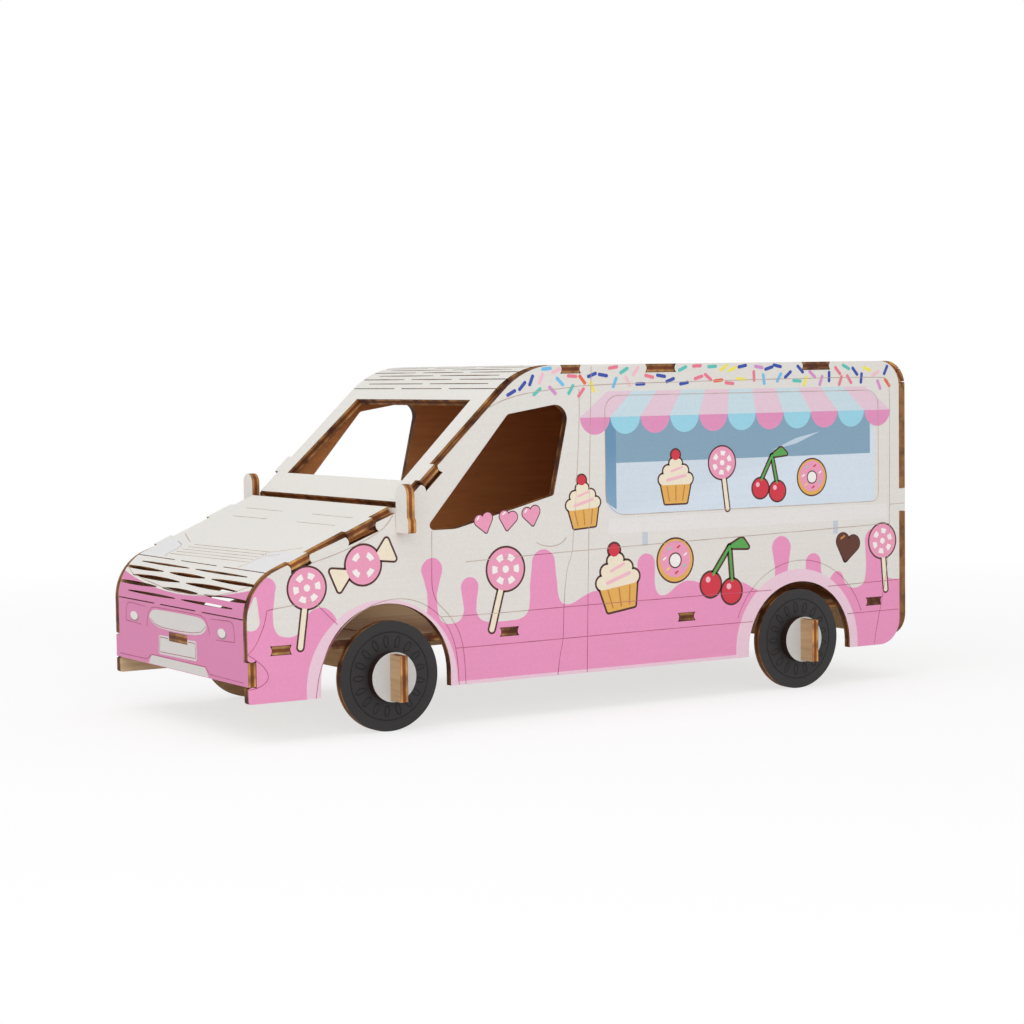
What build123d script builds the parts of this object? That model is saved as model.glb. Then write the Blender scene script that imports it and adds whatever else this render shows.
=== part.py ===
from build123d import *
import math
import os

# Toy ice-cream van, slotted together from flat and bent sheets of laser-cut plywood.
# Millimetres. +X is forward, +Y is the van's left side and +Z is up.
# The origin is on the ground, under the middle of the body.
# Side-on outlines use two sizes: "back", the distance behind the nose, and "up", above the ground.

# Sheet and fits
PLY = 2.6                       # thickness of every sheet
TAB_GAP = 0.1                   # gap round a tab in its slot
SLOT_PINCH = 0.6                # how far each end of a slot bows in to grip its tab
TURN_GAP = 0.06                 # radial gap between a wheel's hole and its axle
WHEEL_PLAY = 0.4                # gap on each side of a turning wheel
PAST = 1.0                      # how far a cutter runs past the faces it cuts
CLOSE = 0.01                    # two lengths this near count as equal

# Body
BODY_LENGTH = 247.0
BODY_WIDTH = 96.0
ROOF_UP = 107.5
SILL_UP = 11.8                  # lower edge of the side panels
SILL_FRONT_RADIUS = 0.8
SILL_REAR_RADIUS = 8.5

# Nose and bonnet
NOSE_LIP_UP = 16.8              # lower edge of the nose sheet
NOSE_CORNER_UP = 46.1           # where the nose and bonnet lines meet
NOSE_RADIUS = 15.3
BONNET_SLOPE = 20.6             # degrees above level, along the sides' upper edges
BONNET_END_GAP = 1.3            # from the bonnet's free end to the mirror sheet
BONNET_LIFT = 2.3               # the bonnet's free end springs up this far above the sides

# Windscreen
SCREEN_SLOPE = 43.0             # degrees above level
KINK_BACK = 49.1                # where the bonnet and windscreen lines of the sides meet
SCREEN_RADIUS = 27.0
SCREEN_LIFT = 1.2               # how far the windscreen frame stands above the sides' edges
SCREEN_START = 3.3              # from the kink in the sides' edges to the frame's lower end
SCREEN_LOWER_BAR = 8.6          # along the slope, from the frame's lower end to the opening
SCREEN_UPPER_BAR = 15.1         # along the slope, from the opening to where its line meets the roof's
SCREEN_SIDE_BAR_LOW = 9.9       # from the sides' outer faces to the opening, at its lower corners
SCREEN_SIDE_BAR_HIGH = 11.6

# Tail
TAIL_RADIUS = 8.5
TAIL_LIP_UP = 14.0              # lower edge of the tail
TAIL_LIP_RADIUS = 8.0
TAIL_TAB_UP = 60.5              # middle of each side panel's tab through the tail
TAIL_TAB_LENGTH = 7.6

# Wheels and axles
WHEEL_RADIUS = 16.4
FRONT_AXLE_BACK = 46.0
REAR_OVERHANG = 46.7            # from the rear axle to the tail
HUB_BRIDGE = 0.6                # wood between a hub disc's slot and its rim
TONGUE_HEIGHT = 13.6
TONGUE_END = 5.8                # how far a tongue stands out of its hub disc
AXLE_WEB_DROP = 0.3             # how far an axle sheet's middle reaches below the wheel centre
AXLE_FOOT_WIDTH = 9.0
AXLE_FOOT_DROP = 8.4            # how far an axle sheet's feet reach below the wheel centre
AXLE_FOOT_RADIUS = 1.5
AXLE_TAB_LENGTH = 10.0
AXLE_TAB_SPACING = 44.0

# Wheel arches
FRONT_ARCH_RADIUS = 21.9
FRONT_ARCH_RISE = 21.6          # from the wheel centre to the arch's top
FRONT_ARCH_AHEAD = 0.8          # how far the arch's middle is ahead of the wheel's
REAR_ARCH_RADIUS = 21.3
REAR_ARCH_RISE = 18.9
REAR_ARCH_AHEAD = -0.8

# Floor
FLOOR_RISE = 9.0                # from the wheel centres to the floor's underside
FLOOR_SIDE_TAB_LENGTH = 5.7
FLOOR_END_TAB_LENGTH = 13.2
FLOOR_TAB_FROM_NOSE = 10.6
FLOOR_TAB_FROM_TAIL = 14.0
FLOOR_TAB_FROM_FRONT_AXLE = 42.0
FLOOR_TAB_FROM_REAR_AXLE = 45.5

# Mirrors
MIRROR_AHEAD = 0.1              # how far the mirror sheet's front face is ahead of the kink
MIRROR_OUT = 6.7
MIRROR_BULB = 0.8               # how far the ear's foot stands out beyond its blade
MIRROR_TOP_RADIUS = 3.2
MIRROR_EAR_RISE = 10.6          # from the notch that carries the sheet to the top of an ear
MIRROR_EAR_DROP = 3.8           # from that notch to the foot of an ear
MIRROR_BAR_RISE = 3.4           # from that notch to the upper edge between the sides
MIRROR_NOTCH_DEPTH = 2.0        # how far the notch in each side is below the kink

# Hinge slots
HINGE_BRIDGE = 4.6              # wood left between two slots in a row
KERF = 0.35                     # width of a hinge slot at its ends
HINGE_MARGIN = 7.4              # wood left at the ends of every second row
SLOT_OVERRUN = 6.0              # how far a slot that is open at the side runs past the edge

HALF_WIDTH = BODY_WIDTH / 2
INNER_HALF = HALF_WIDTH - PLY
AXLE_UP = WHEEL_RADIUS
FLOOR_UP = AXLE_UP + FLOOR_RISE
FLOOR_TOP_UP = FLOOR_UP + PLY
HUB_RADIUS = TONGUE_HEIGHT / 2 + HUB_BRIDGE
REAR_AXLE_BACK = BODY_LENGTH - REAR_OVERHANG
TAIL_INNER_BACK = BODY_LENGTH - PLY
NOSE_CORNER = Vector(0, NOSE_CORNER_UP)
BONNET_EDGE = Vector(math.cos(math.radians(BONNET_SLOPE)), math.sin(math.radians(BONNET_SLOPE)))
KINK = NOSE_CORNER + BONNET_EDGE * (KINK_BACK / BONNET_EDGE.X)
MIRROR_BACK = KINK_BACK - MIRROR_AHEAD
MIRROR_NOTCH_UP = KINK.Y - MIRROR_NOTCH_DEPTH
BONNET_END_BACK = MIRROR_BACK - BONNET_END_GAP
BONNET_END = NOSE_CORNER + BONNET_EDGE * (BONNET_END_BACK / BONNET_EDGE.X) + Vector(0, BONNET_LIFT)
BONNET_SHEET = (BONNET_END - NOSE_CORNER).normalized()
SCREEN = Vector(math.cos(math.radians(SCREEN_SLOPE)), math.sin(math.radians(SCREEN_SLOPE)))
SCREEN_TOP_BACK = KINK_BACK + (ROOF_UP - KINK.Y) * SCREEN.X / SCREEN.Y
SHEET_TOP = Vector(SCREEN_TOP_BACK - SCREEN_LIFT / SCREEN.Y, ROOF_UP)
SHEET_FOOT = KINK + SCREEN * SCREEN_START + Vector(-SCREEN.Y, SCREEN.X) * SCREEN_LIFT

# Axles: name, distance behind the nose, arch radius, arch top above and arch middle ahead of the wheel centre
AXLES = [
    ("front", FRONT_AXLE_BACK, FRONT_ARCH_RADIUS, FRONT_ARCH_RISE, FRONT_ARCH_AHEAD),
    ("rear", REAR_AXLE_BACK, REAR_ARCH_RADIUS, REAR_ARCH_RISE, REAR_ARCH_AHEAD),
]
# Tabs of the bent sheets in the sides' edges: (middle, length), along the sheet from its end at the mirrors
BONNET_TABS = [(12.0, 9.6), (33.8, 6.4)]
SCREEN_TABS = [(12.4, 6.8)]
# Tabs of the roof: (distance behind the nose, length)
ROOF_TABS = [
    (SCREEN_TOP_BACK + 16.3, 6.4),
    (SCREEN_TOP_BACK + 50.4, 10.7),
    (BODY_LENGTH - 38.5, 10.9),
]
NOSE_TAB_LENGTH = 7.0           # the nose sheet's tab at its lower edge
# Tabs of the floor through the sides, as distances behind the nose
FLOOR_TABS = [
    FLOOR_TAB_FROM_NOSE,
    FRONT_AXLE_BACK + FLOOR_TAB_FROM_FRONT_AXLE,
    REAR_AXLE_BACK - FLOOR_TAB_FROM_REAR_AXLE,
    BODY_LENGTH - FLOOR_TAB_FROM_TAIL,
]
# Corners of the cab window: (back, up, radius)
SIDE_WINDOW = [
    (KINK_BACK + 9.6, KINK.Y - 5.7, 1.5),
    (KINK_BACK + 20.4, KINK.Y - 5.7, 10.0),
    (SCREEN_TOP_BACK + 9.5, KINK.Y + 3.0, 1.0),
    (SCREEN_TOP_BACK + 16.1, ROOF_UP - 11.2, 4.5),
    (SCREEN_TOP_BACK - 6.8, ROOF_UP - 14.7, 2.0),
]
# Bends: (sheet, bend's centre, bend's radius, angles of the first and the last slots, gap between rows,
# width of the middle row's slots at their middles). Angles run from 0 straight ahead to 90 straight up.
NOSE_BEND = 90.0 - math.degrees(math.atan2(BONNET_SHEET.Y, BONNET_SHEET.X))
NOSE_BEND_DROP = NOSE_RADIUS * math.tan(math.radians(NOSE_BEND / 2))
SCREEN_BEND_BACK = SCREEN_RADIUS * math.tan(math.radians(SCREEN_SLOPE / 2))
HINGES = [
    ("nose", Vector(NOSE_RADIUS, NOSE_CORNER_UP - NOSE_BEND_DROP), NOSE_RADIUS, 0.0, NOSE_BEND, 2.6, 1.4),
    ("roof", SHEET_TOP + Vector(SCREEN_BEND_BACK, -SCREEN_RADIUS), SCREEN_RADIUS, 48.0, 90.0, 2.4, 0.6),
    ("roof", Vector(BODY_LENGTH - TAIL_RADIUS, ROOF_UP - TAIL_RADIUS), TAIL_RADIUS, 100.0, 180.0, 2.6, 0.7),
]


def side_on(corner):
    """Point of a side-on outline in the XZ plane."""
    return Vector(BODY_LENGTH / 2 - corner.X, 0, corner.Y)


def across(corner):
    """Point of an outline drawn across the van, as (y, up), in the YZ plane."""
    return Vector(0, corner.X, corner.Y)


def rounded_face(corners, place):
    """Flat face through (first, second, radius) corners, each one rounded by its radius."""
    pieces = []
    for i, (first, second, radius) in enumerate(corners):
        corner = Vector(first, second)
        to_before = (Vector(*corners[i - 1][:2]) - corner).normalized()
        to_after = (Vector(*corners[(i + 1) % len(corners)][:2]) - corner).normalized()
        half = math.radians(to_before.get_angle(to_after)) / 2
        inward = (to_before + to_after).normalized()
        reach = radius / math.tan(half)
        middle = corner + inward * (radius / math.sin(half) - radius)
        pieces.append((corner + to_before * reach, middle, corner + to_after * reach))
    edges = []
    for i, (start, middle, end) in enumerate(pieces):
        if (end - start).length > 0:
            edges.append(ThreePointArc(place(start), place(middle), place(end)))
        edges.append(Line(place(end), place(pieces[(i + 1) % len(pieces)][0])))
    return Face(Wire(edges))


def side_plate(corners, y_from, y_to):
    """Plate with a side-on outline, between two y."""
    face = rounded_face(corners, side_on)
    return Pos(0, y_from, 0) * extrude(face, amount=y_to - y_from, dir=(0, 1, 0))


def cross_plate(corners, back):
    """Upright plate across the van with a (y, up, radius) outline, its front face at a distance."""
    face = rounded_face(corners, across)
    return Pos(BODY_LENGTH / 2 - back, 0, 0) * extrude(face, amount=PLY, dir=(-1, 0, 0))


def block(back_from, back_to, y_from, y_to, up_from, up_to):
    """Upright block between two distances behind the nose, two y and two heights."""
    size = (back_to - back_from, y_to - y_from, up_to - up_from)
    centre = (BODY_LENGTH / 2 - (back_from + back_to) / 2, (y_from + y_to) / 2, (up_from + up_to) / 2)
    return Pos(*centre) * Box(*size)


def disc(radius, back, up, y_from, y_to):
    """Round plate with its axis along Y, between two y."""
    centre = (BODY_LENGTH / 2 - back, (y_from + y_to) / 2, up)
    return Pos(*centre) * Rot(90, 0, 0) * Cylinder(radius, y_to - y_from)


def right_of(direction):
    """Direction turned a quarter to the right: into the van, when it runs up and back round the body."""
    return Vector(direction.Y, -direction.X)


def bent_strip(path):
    """Closed outline of a bent sheet whose outer face runs through (back, up, radius) points."""
    inner = []
    for i, (back, up, radius) in enumerate(path):
        here = Vector(back, up)
        normals = []
        if i > 0:
            normals.append(right_of((here - Vector(*path[i - 1][:2])).normalized()))
        if i < len(path) - 1:
            normals.append(right_of((Vector(*path[i + 1][:2]) - here).normalized()))
        inward = sum(normals, Vector(0, 0)).normalized()
        moved = here + inward * (PLY / inward.dot(normals[0]))
        inner.append((moved.X, moved.Y, max(radius - PLY, 0)))
    return path + inner[::-1]


NOSE_PATH = [
    (0, NOSE_LIP_UP, 0),
    (0, NOSE_CORNER_UP, NOSE_RADIUS),
    (BONNET_END.X, BONNET_END.Y, 0),
]
ROOF_PATH = [
    (SHEET_FOOT.X, SHEET_FOOT.Y, 0),
    (SHEET_TOP.X, SHEET_TOP.Y, SCREEN_RADIUS),
    (BODY_LENGTH, ROOF_UP, TAIL_RADIUS),
    (BODY_LENGTH, TAIL_LIP_UP, 0),
]
SIDE_OUTLINE = [
    (0, SILL_UP, SILL_FRONT_RADIUS),
    (0, NOSE_CORNER_UP, NOSE_RADIUS),
    (KINK.X, KINK.Y, 0),
    (SCREEN_TOP_BACK, ROOF_UP, SCREEN_RADIUS),
    (TAIL_INNER_BACK, ROOF_UP, TAIL_RADIUS),
    (TAIL_INNER_BACK, SILL_UP, SILL_REAR_RADIUS),
]


def tab(middle, direction, length, y_from, y_to):
    """Tab of a sheet: its outer face runs through a point along a direction."""
    first = middle - direction * (length / 2)
    last = middle + direction * (length / 2)
    down = right_of(direction) * PLY
    return side_plate([(p.X, p.Y, 0) for p in (first, last, last + down, first + down)], y_from, y_to)


def slot(middle, direction, length, open_edge, y_from, y_to):
    """Cutter for a tab's slot, with ends that bow in; an open one is a notch in an edge."""
    reach = direction * (length / 2 + TAB_GAP + SLOT_PINCH)
    down = right_of(direction)
    outer = middle - down * (0 if open_edge else TAB_GAP)
    inner = middle + down * (PLY + TAB_GAP)
    waist = (outer + inner) * 0.5
    pinched = direction * (length / 2 + TAB_GAP)
    corners = [outer - reach, inner - reach, inner + reach, outer + reach]
    points = [side_on(p) for p in corners]
    edges = [
        ThreePointArc(points[0], side_on(waist - pinched), points[1]),
        Line(points[1], points[2]),
        ThreePointArc(points[2], side_on(waist + pinched), points[3]),
    ]
    if open_edge:
        above = [side_on(corners[3] - down * PLY), side_on(corners[0] - down * PLY)]
        edges += [Line(points[3], above[0]), Line(above[0], above[1]), Line(above[1], points[0])]
    else:
        edges.append(Line(points[3], points[0]))
    return Pos(0, y_from, 0) * extrude(Face(Wire(edges)), amount=y_to - y_from, dir=(0, 1, 0))


def sheet_tabs():
    """Tabs of the two bent sheets: (sheet, middle on the sheet, its direction, middle on the side's edge,
    the edge's direction, length)."""
    up = Vector(0, 1)
    back = Vector(1, 0)
    tabs = []
    for along, length in BONNET_TABS:
        on_sheet = BONNET_END - BONNET_SHEET * along
        on_edge = NOSE_CORNER + BONNET_EDGE * (on_sheet - NOSE_CORNER).dot(BONNET_EDGE)
        tabs.append(("nose", on_sheet, BONNET_SHEET, on_edge, BONNET_EDGE, length))
    for along, length in SCREEN_TABS:
        on_sheet = SHEET_FOOT + SCREEN * along
        on_edge = on_sheet + right_of(SCREEN) * SCREEN_LIFT
        tabs.append(("roof", on_sheet, SCREEN, on_edge, SCREEN, length))
    for middle, length in ROOF_TABS:
        on_roof = Vector(middle, ROOF_UP)
        tabs.append(("roof", on_roof, back, on_roof, back, length))
    on_nose = Vector(0, NOSE_LIP_UP + NOSE_TAB_LENGTH / 2)
    tabs.append(("nose", on_nose, up, on_nose, up, NOSE_TAB_LENGTH))
    return tabs


def side_panel():
    """Left side panel, its outer face at +Y."""
    panel = side_plate(SIDE_OUTLINE, INNER_HALF, HALF_WIDTH)
    y_from = INNER_HALF - PAST
    y_to = HALF_WIDTH + PAST
    cutters = [side_plate(SIDE_WINDOW, y_from, y_to)]
    for name, back, radius, rise, ahead in AXLES:
        middle = back - ahead
        centre_up = AXLE_UP + rise - radius
        cutters.append(disc(radius, middle, centre_up, y_from, y_to))
        cutters.append(block(middle - radius, middle + radius, y_from, y_to, 0, centre_up))
    for sheet, on_sheet, sheet_direction, on_edge, edge_direction, length in sheet_tabs():
        cutters.append(slot(on_edge, edge_direction, length, True, y_from, y_to))
    for back in FLOOR_TABS:
        on_floor = Vector(back, FLOOR_TOP_UP)
        cutters.append(slot(on_floor, Vector(1, 0), FLOOR_SIDE_TAB_LENGTH, False, y_from, y_to))
    mirror_slot = (MIRROR_BACK - TAB_GAP, MIRROR_BACK + PLY + TAB_GAP)
    cutters.append(block(*mirror_slot, y_from, y_to, MIRROR_NOTCH_UP - TAB_GAP, ROOF_UP))
    low = TAIL_TAB_UP - TAIL_TAB_LENGTH / 2
    high = TAIL_TAB_UP + TAIL_TAB_LENGTH / 2
    return panel - cutters + block(TAIL_INNER_BACK - PAST, BODY_LENGTH, INNER_HALF, HALF_WIDTH, low, high)


def hinge_slots(sheet):
    """Cutters for the rows of slots that let a sheet bend. Each slot is a thin cut that gapes in its middle,
    most in the rows halfway round the bend."""
    third = INNER_HALF / 3
    open_row = [
        (-INNER_HALF - SLOT_OVERRUN, -third - HINGE_BRIDGE / 2),
        (-third + HINGE_BRIDGE / 2, third - HINGE_BRIDGE / 2),
        (third + HINGE_BRIDGE / 2, INNER_HALF + SLOT_OVERRUN),
    ]
    closed_row = [
        (-INNER_HALF + HINGE_MARGIN, -HINGE_BRIDGE / 2),
        (HINGE_BRIDGE / 2, INNER_HALF - HINGE_MARGIN),
    ]
    cutters = []
    for name, centre, radius, start, end, row_gap, width in HINGES:
        if name != sheet:
            continue
        rows = int(math.radians(end - start) * radius / row_gap) + 1
        for row in range(rows):
            angle = math.radians(start) + row * row_gap / radius
            outward = Vector(-math.cos(angle), math.sin(angle))
            along = Vector(math.sin(angle), math.cos(angle))
            inner = side_on(centre + outward * (radius - PLY - PAST))
            depth = side_on(centre + outward * (radius + PAST)) - inner
            gape = KERF + (width - KERF) * math.sin(math.pi * row / (rows - 1))
            bulge = side_on(centre + along * (gape / 2)) - side_on(centre)
            end = side_on(centre + along * (KERF / 2)) - side_on(centre)
            for y_from, y_to in (closed_row if row % 2 else open_row):
                first = inner + Vector(0, y_from, 0)
                last = inner + Vector(0, y_to, 0)
                middle = (first + last) * 0.5
                if gape > KERF + CLOSE:
                    near_side = ThreePointArc(first + end, middle + bulge, last + end)
                    far_side = ThreePointArc(last - end, middle - bulge, first - end)
                else:
                    near_side = Line(first + end, last + end)
                    far_side = Line(last - end, first - end)
                ends = [Line(last + end, last - end), Line(first - end, first + end)]
                gap = Face(Wire([near_side, ends[0], far_side, ends[1]]))
                cutters.append(extrude(gap, amount=depth.length, dir=depth))
    return cutters


def floor_end_slot(back):
    """Cutter for the floor's tab through the nose or the tail."""
    half = FLOOR_END_TAB_LENGTH / 2 + TAB_GAP
    return block(back - PAST, back + PLY + PAST, -half, half, FLOOR_UP - TAB_GAP, FLOOR_TOP_UP + TAB_GAP)


def nose_sheet():
    """Nose and bonnet in one bent sheet between the sides, with tabs in their edges."""
    sheet = side_plate(bent_strip(NOSE_PATH), -INNER_HALF, INNER_HALF)
    for name, on_sheet, sheet_direction, on_edge, edge_direction, length in sheet_tabs():
        if name == "nose":
            sheet += tab(on_sheet, sheet_direction, length, -HALF_WIDTH, HALF_WIDTH)
    return sheet - [floor_end_slot(0), *hinge_slots("nose")]


def screen_opening():
    """Cutter for the windscreen's opening, square to the slope and wider at its foot."""
    low = SCREEN_LOWER_BAR
    high = (SHEET_TOP - SHEET_FOOT).length - SCREEN_UPPER_BAR
    slope_plane = Plane(origin=side_on(SHEET_FOOT), x_dir=(0, 1, 0),
                        z_dir=side_on(SHEET_FOOT) - side_on(SHEET_FOOT + right_of(SCREEN)))
    low_half = HALF_WIDTH - SCREEN_SIDE_BAR_LOW
    high_half = HALF_WIDTH - SCREEN_SIDE_BAR_HIGH
    outline = Polygon((-low_half, low), (low_half, low), (high_half, high), (-high_half, high), align=None)
    return extrude(slope_plane * outline, amount=2 * PLY, both=True)


def roof_sheet():
    """Windscreen frame, roof and tail in one bent sheet; the tail covers the sides' rear edges."""
    sheet = side_plate(bent_strip(ROOF_PATH), -INNER_HALF, INNER_HALF)
    whole = side_plate(bent_strip(ROOF_PATH), -HALF_WIDTH, HALF_WIDTH)
    wide = HALF_WIDTH + PAST
    behind = whole & block(BODY_LENGTH - TAIL_RADIUS, BODY_LENGTH + PAST, -wide, wide, 0, ROOF_UP + PAST)
    sheet += behind - side_plate(SIDE_OUTLINE, -wide, wide)
    for name, on_sheet, sheet_direction, on_edge, edge_direction, length in sheet_tabs():
        if name == "roof":
            sheet += tab(on_sheet, sheet_direction, length, -HALF_WIDTH, HALF_WIDTH)
    half = TAIL_TAB_LENGTH / 2 + TAB_GAP
    low, high = TAIL_TAB_UP - half, TAIL_TAB_UP + half
    cutters = [screen_opening(), floor_end_slot(TAIL_INNER_BACK)]
    for y_from, y_to in ((-wide, -INNER_HALF + TAB_GAP), (INNER_HALF - TAB_GAP, wide)):
        cutters.append(block(TAIL_INNER_BACK - PAST, BODY_LENGTH + PAST, y_from, y_to, low, high))
    sheet -= cutters + hinge_slots("roof")
    lip_corners = [edge for edge in sheet.edges().filter_by(Axis.X)
                   if abs(edge.center().Z - TAIL_LIP_UP) < CLOSE and abs(edge.length - PLY) < CLOSE]
    return fillet(lip_corners, TAIL_LIP_RADIUS)


def floor_sheet():
    """Floor between the sides, with tabs through the sides, nose and tail, and slots for the axles."""
    floor = block(PLY, TAIL_INNER_BACK, -INNER_HALF, INNER_HALF, FLOOR_UP, FLOOR_TOP_UP)
    for back in FLOOR_TABS:
        half = FLOOR_SIDE_TAB_LENGTH / 2
        floor += block(back - half, back + half, -HALF_WIDTH, HALF_WIDTH, FLOOR_UP, FLOOR_TOP_UP)
    half = FLOOR_END_TAB_LENGTH / 2
    floor += block(0, BODY_LENGTH, -half, half, FLOOR_UP, FLOOR_TOP_UP)
    half = AXLE_TAB_LENGTH / 2 + TAB_GAP
    reach = PLY / 2 + TAB_GAP
    for name, back, *arch in AXLES:
        for middle in (-AXLE_TAB_SPACING / 2, AXLE_TAB_SPACING / 2):
            floor -= block(back - reach, back + reach, middle - half, middle + half,
                           FLOOR_UP - PAST, FLOOR_TOP_UP + PAST)
    return floor


def axle_sheet(back):
    """Upright sheet under the floor whose two tongues carry the wheels."""
    foot_up = AXLE_UP - AXLE_FOOT_DROP
    low, high = AXLE_UP - TONGUE_HEIGHT / 2, AXLE_UP + TONGUE_HEIGHT / 2
    shoulder = INNER_HALF - WHEEL_PLAY
    foot_in = shoulder - AXLE_FOOT_WIDTH
    tongue_out = HALF_WIDTH + WHEEL_PLAY + PLY + TONGUE_END
    tab_in = (AXLE_TAB_SPACING - AXLE_TAB_LENGTH) / 2
    tab_out = tab_in + AXLE_TAB_LENGTH
    left = [
        (tongue_out, low, 0),
        (tongue_out, high, 0),
        (shoulder, high, 0),
        (shoulder, FLOOR_UP, 0),
        (tab_out, FLOOR_UP, 0),
        (tab_out, FLOOR_TOP_UP, 0),
        (tab_in, FLOOR_TOP_UP, 0),
        (tab_in, FLOOR_UP, 0),
    ]
    under = [
        (foot_in, AXLE_UP - AXLE_WEB_DROP, AXLE_FOOT_RADIUS),
        (foot_in, foot_up, AXLE_FOOT_RADIUS),
        (shoulder, foot_up, 0),
        (shoulder, low, 0),
    ]
    right = [(-y, up, radius) for y, up, radius in reversed(left)]
    right_under = [(-y, up, radius) for y, up, radius in reversed(under)]
    return cross_plate(left + right + right_under + under, back - PLY / 2)


def wheel_ring(back, side):
    """Wheel that turns on an axle's tongue, its outer face level with the side panel."""
    y_from, y_to = sorted((side * INNER_HALF, side * HALF_WIDTH))
    hole_radius = math.hypot(TONGUE_HEIGHT / 2, PLY / 2) + TURN_GAP
    ring = disc(WHEEL_RADIUS, back, AXLE_UP, y_from, y_to)
    return ring - disc(hole_radius, back, AXLE_UP, y_from - PAST, y_to + PAST)


def hub_disc(back, side):
    """Slotted disc that sits on the tongue outside a wheel and keeps it on."""
    near = HALF_WIDTH + WHEEL_PLAY
    y_from, y_to = sorted((side * near, side * (near + PLY)))
    half = (TONGUE_HEIGHT + TAB_GAP) / 2
    wide = (PLY + TAB_GAP) / 2
    hub = disc(HUB_RADIUS, back, AXLE_UP, y_from, y_to)
    return hub - block(back - wide, back + wide, y_from - PAST, y_to + PAST, AXLE_UP - half, AXLE_UP + half)


def mirror_sheet():
    """Upright sheet across the foot of the windscreen, with a mirror ear outside each side."""
    top_up = MIRROR_NOTCH_UP + MIRROR_EAR_RISE
    foot_up = MIRROR_NOTCH_UP - MIRROR_EAR_DROP
    bar_up = MIRROR_NOTCH_UP + MIRROR_BAR_RISE
    near = HALF_WIDTH + TAB_GAP
    out = HALF_WIDTH + MIRROR_OUT
    inside = INNER_HALF - TAB_GAP
    left = [
        (inside, foot_up, 0),
        (inside, MIRROR_NOTCH_UP, 0),
        (near, MIRROR_NOTCH_UP, 0),
        (near, foot_up, 0),
        (out + MIRROR_BULB, foot_up, MIRROR_BULB),
        (out + MIRROR_BULB, MIRROR_NOTCH_UP, MIRROR_BULB),
        (out, MIRROR_NOTCH_UP + MIRROR_BULB, MIRROR_BULB),
        (out, top_up, MIRROR_TOP_RADIUS),
        (near, top_up, MIRROR_TOP_RADIUS),
        (near, bar_up, 0),
    ]
    right = [(-y, up, radius) for y, up, radius in reversed(left)]
    return cross_plate(left + right, MIRROR_BACK)


def build():
    """All pieces by name."""
    left = side_panel()
    pieces = {
        "side_panel_left": left,
        "side_panel_right": mirror(left, about=Plane.XZ),
        "nose_sheet": nose_sheet(),
        "roof_sheet": roof_sheet(),
        "floor_sheet": floor_sheet(),
        "mirror_sheet": mirror_sheet(),
    }
    for name, back, *arch in AXLES:
        pieces[f"axle_sheet_{name}"] = axle_sheet(back)
        for side_name, side in (("left", 1), ("right", -1)):
            pieces[f"wheel_{name}_{side_name}"] = wheel_ring(back, side)
            pieces[f"hub_disc_{name}_{side_name}"] = hub_disc(back, side)
    return pieces


os.makedirs("parts", exist_ok=True)
for name, piece in build().items():
    export_step(piece, f"parts/{name}.step")
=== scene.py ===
"""Looks of a slotted plywood toy ice-cream van: printed sheets, scorched cut edges and bare wood inside."""

import math
import random

import bmesh
import bpy
from mathutils import Matrix, Vector


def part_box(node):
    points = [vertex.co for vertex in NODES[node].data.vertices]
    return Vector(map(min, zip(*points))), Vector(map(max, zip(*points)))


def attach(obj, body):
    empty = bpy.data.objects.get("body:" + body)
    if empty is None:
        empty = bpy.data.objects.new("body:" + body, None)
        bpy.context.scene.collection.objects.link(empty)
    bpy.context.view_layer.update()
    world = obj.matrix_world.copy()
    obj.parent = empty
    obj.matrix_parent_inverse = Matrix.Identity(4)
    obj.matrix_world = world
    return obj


bl_info = {
    "name": "Plywood Van Dresser",
    "version": (1, 0, 0),
    "blender": (4, 5, 0),
    "location": "View3D > Sidebar > Van",
    "description": "Prints, scorches and lights a slotted plywood toy van",
    "category": "Object",
}

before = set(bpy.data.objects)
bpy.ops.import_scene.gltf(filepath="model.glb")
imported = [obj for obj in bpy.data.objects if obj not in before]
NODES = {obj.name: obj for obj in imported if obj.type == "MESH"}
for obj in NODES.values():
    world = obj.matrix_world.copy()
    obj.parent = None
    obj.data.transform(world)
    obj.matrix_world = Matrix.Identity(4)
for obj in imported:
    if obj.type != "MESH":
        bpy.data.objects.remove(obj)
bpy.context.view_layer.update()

MM = 0.001
SIDE_LOW, SIDE_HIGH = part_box("side_panel_left")
LENGTH = (SIDE_HIGH.x - SIDE_LOW.x) / MM
HALF_WIDTH = SIDE_HIGH.y / MM
PLY = HALF_WIDTH - SIDE_LOW.y / MM
ROOF_UP = SIDE_HIGH.z / MM
SILL_UP = SIDE_LOW.z / MM
NOSE_LIP_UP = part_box("nose_sheet")[0].z / MM
FLOOR_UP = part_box("floor_sheet")[1].z / MM
SIDES = {"left": 1, "right": -1}
ENDS = ("front", "rear")
UPRIGHT = (math.pi / 2, 0, 0)

# Bends of the two curved sheets, side-on: centre (behind the nose, up), radius, angles in degrees between
# which the sheet turns, from 0 straight ahead to 90 straight up
NOSE_BEND = ((15.3, 35.97), 15.3, 0.0, 67.0)
SCREEN_BEND = ((104.0, 80.5), 27.0, 47.0, 90.0)
TAIL_BEND = ((238.5, 99.0), 8.5, 90.0, 180.0)
ROOF_MIDDLE_BACK = 170.0
SOOT_AND_SHADE_END = 20.0                 # how far ahead of the tail the soot and painted shade on the roof sheet's edges end
SOFT_EDGE = 0.06                # width of the blur along the edge of a painted shape
FACING = 0.8                    # least cosine between a face and the way out of its sheet for an outer face

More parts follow.
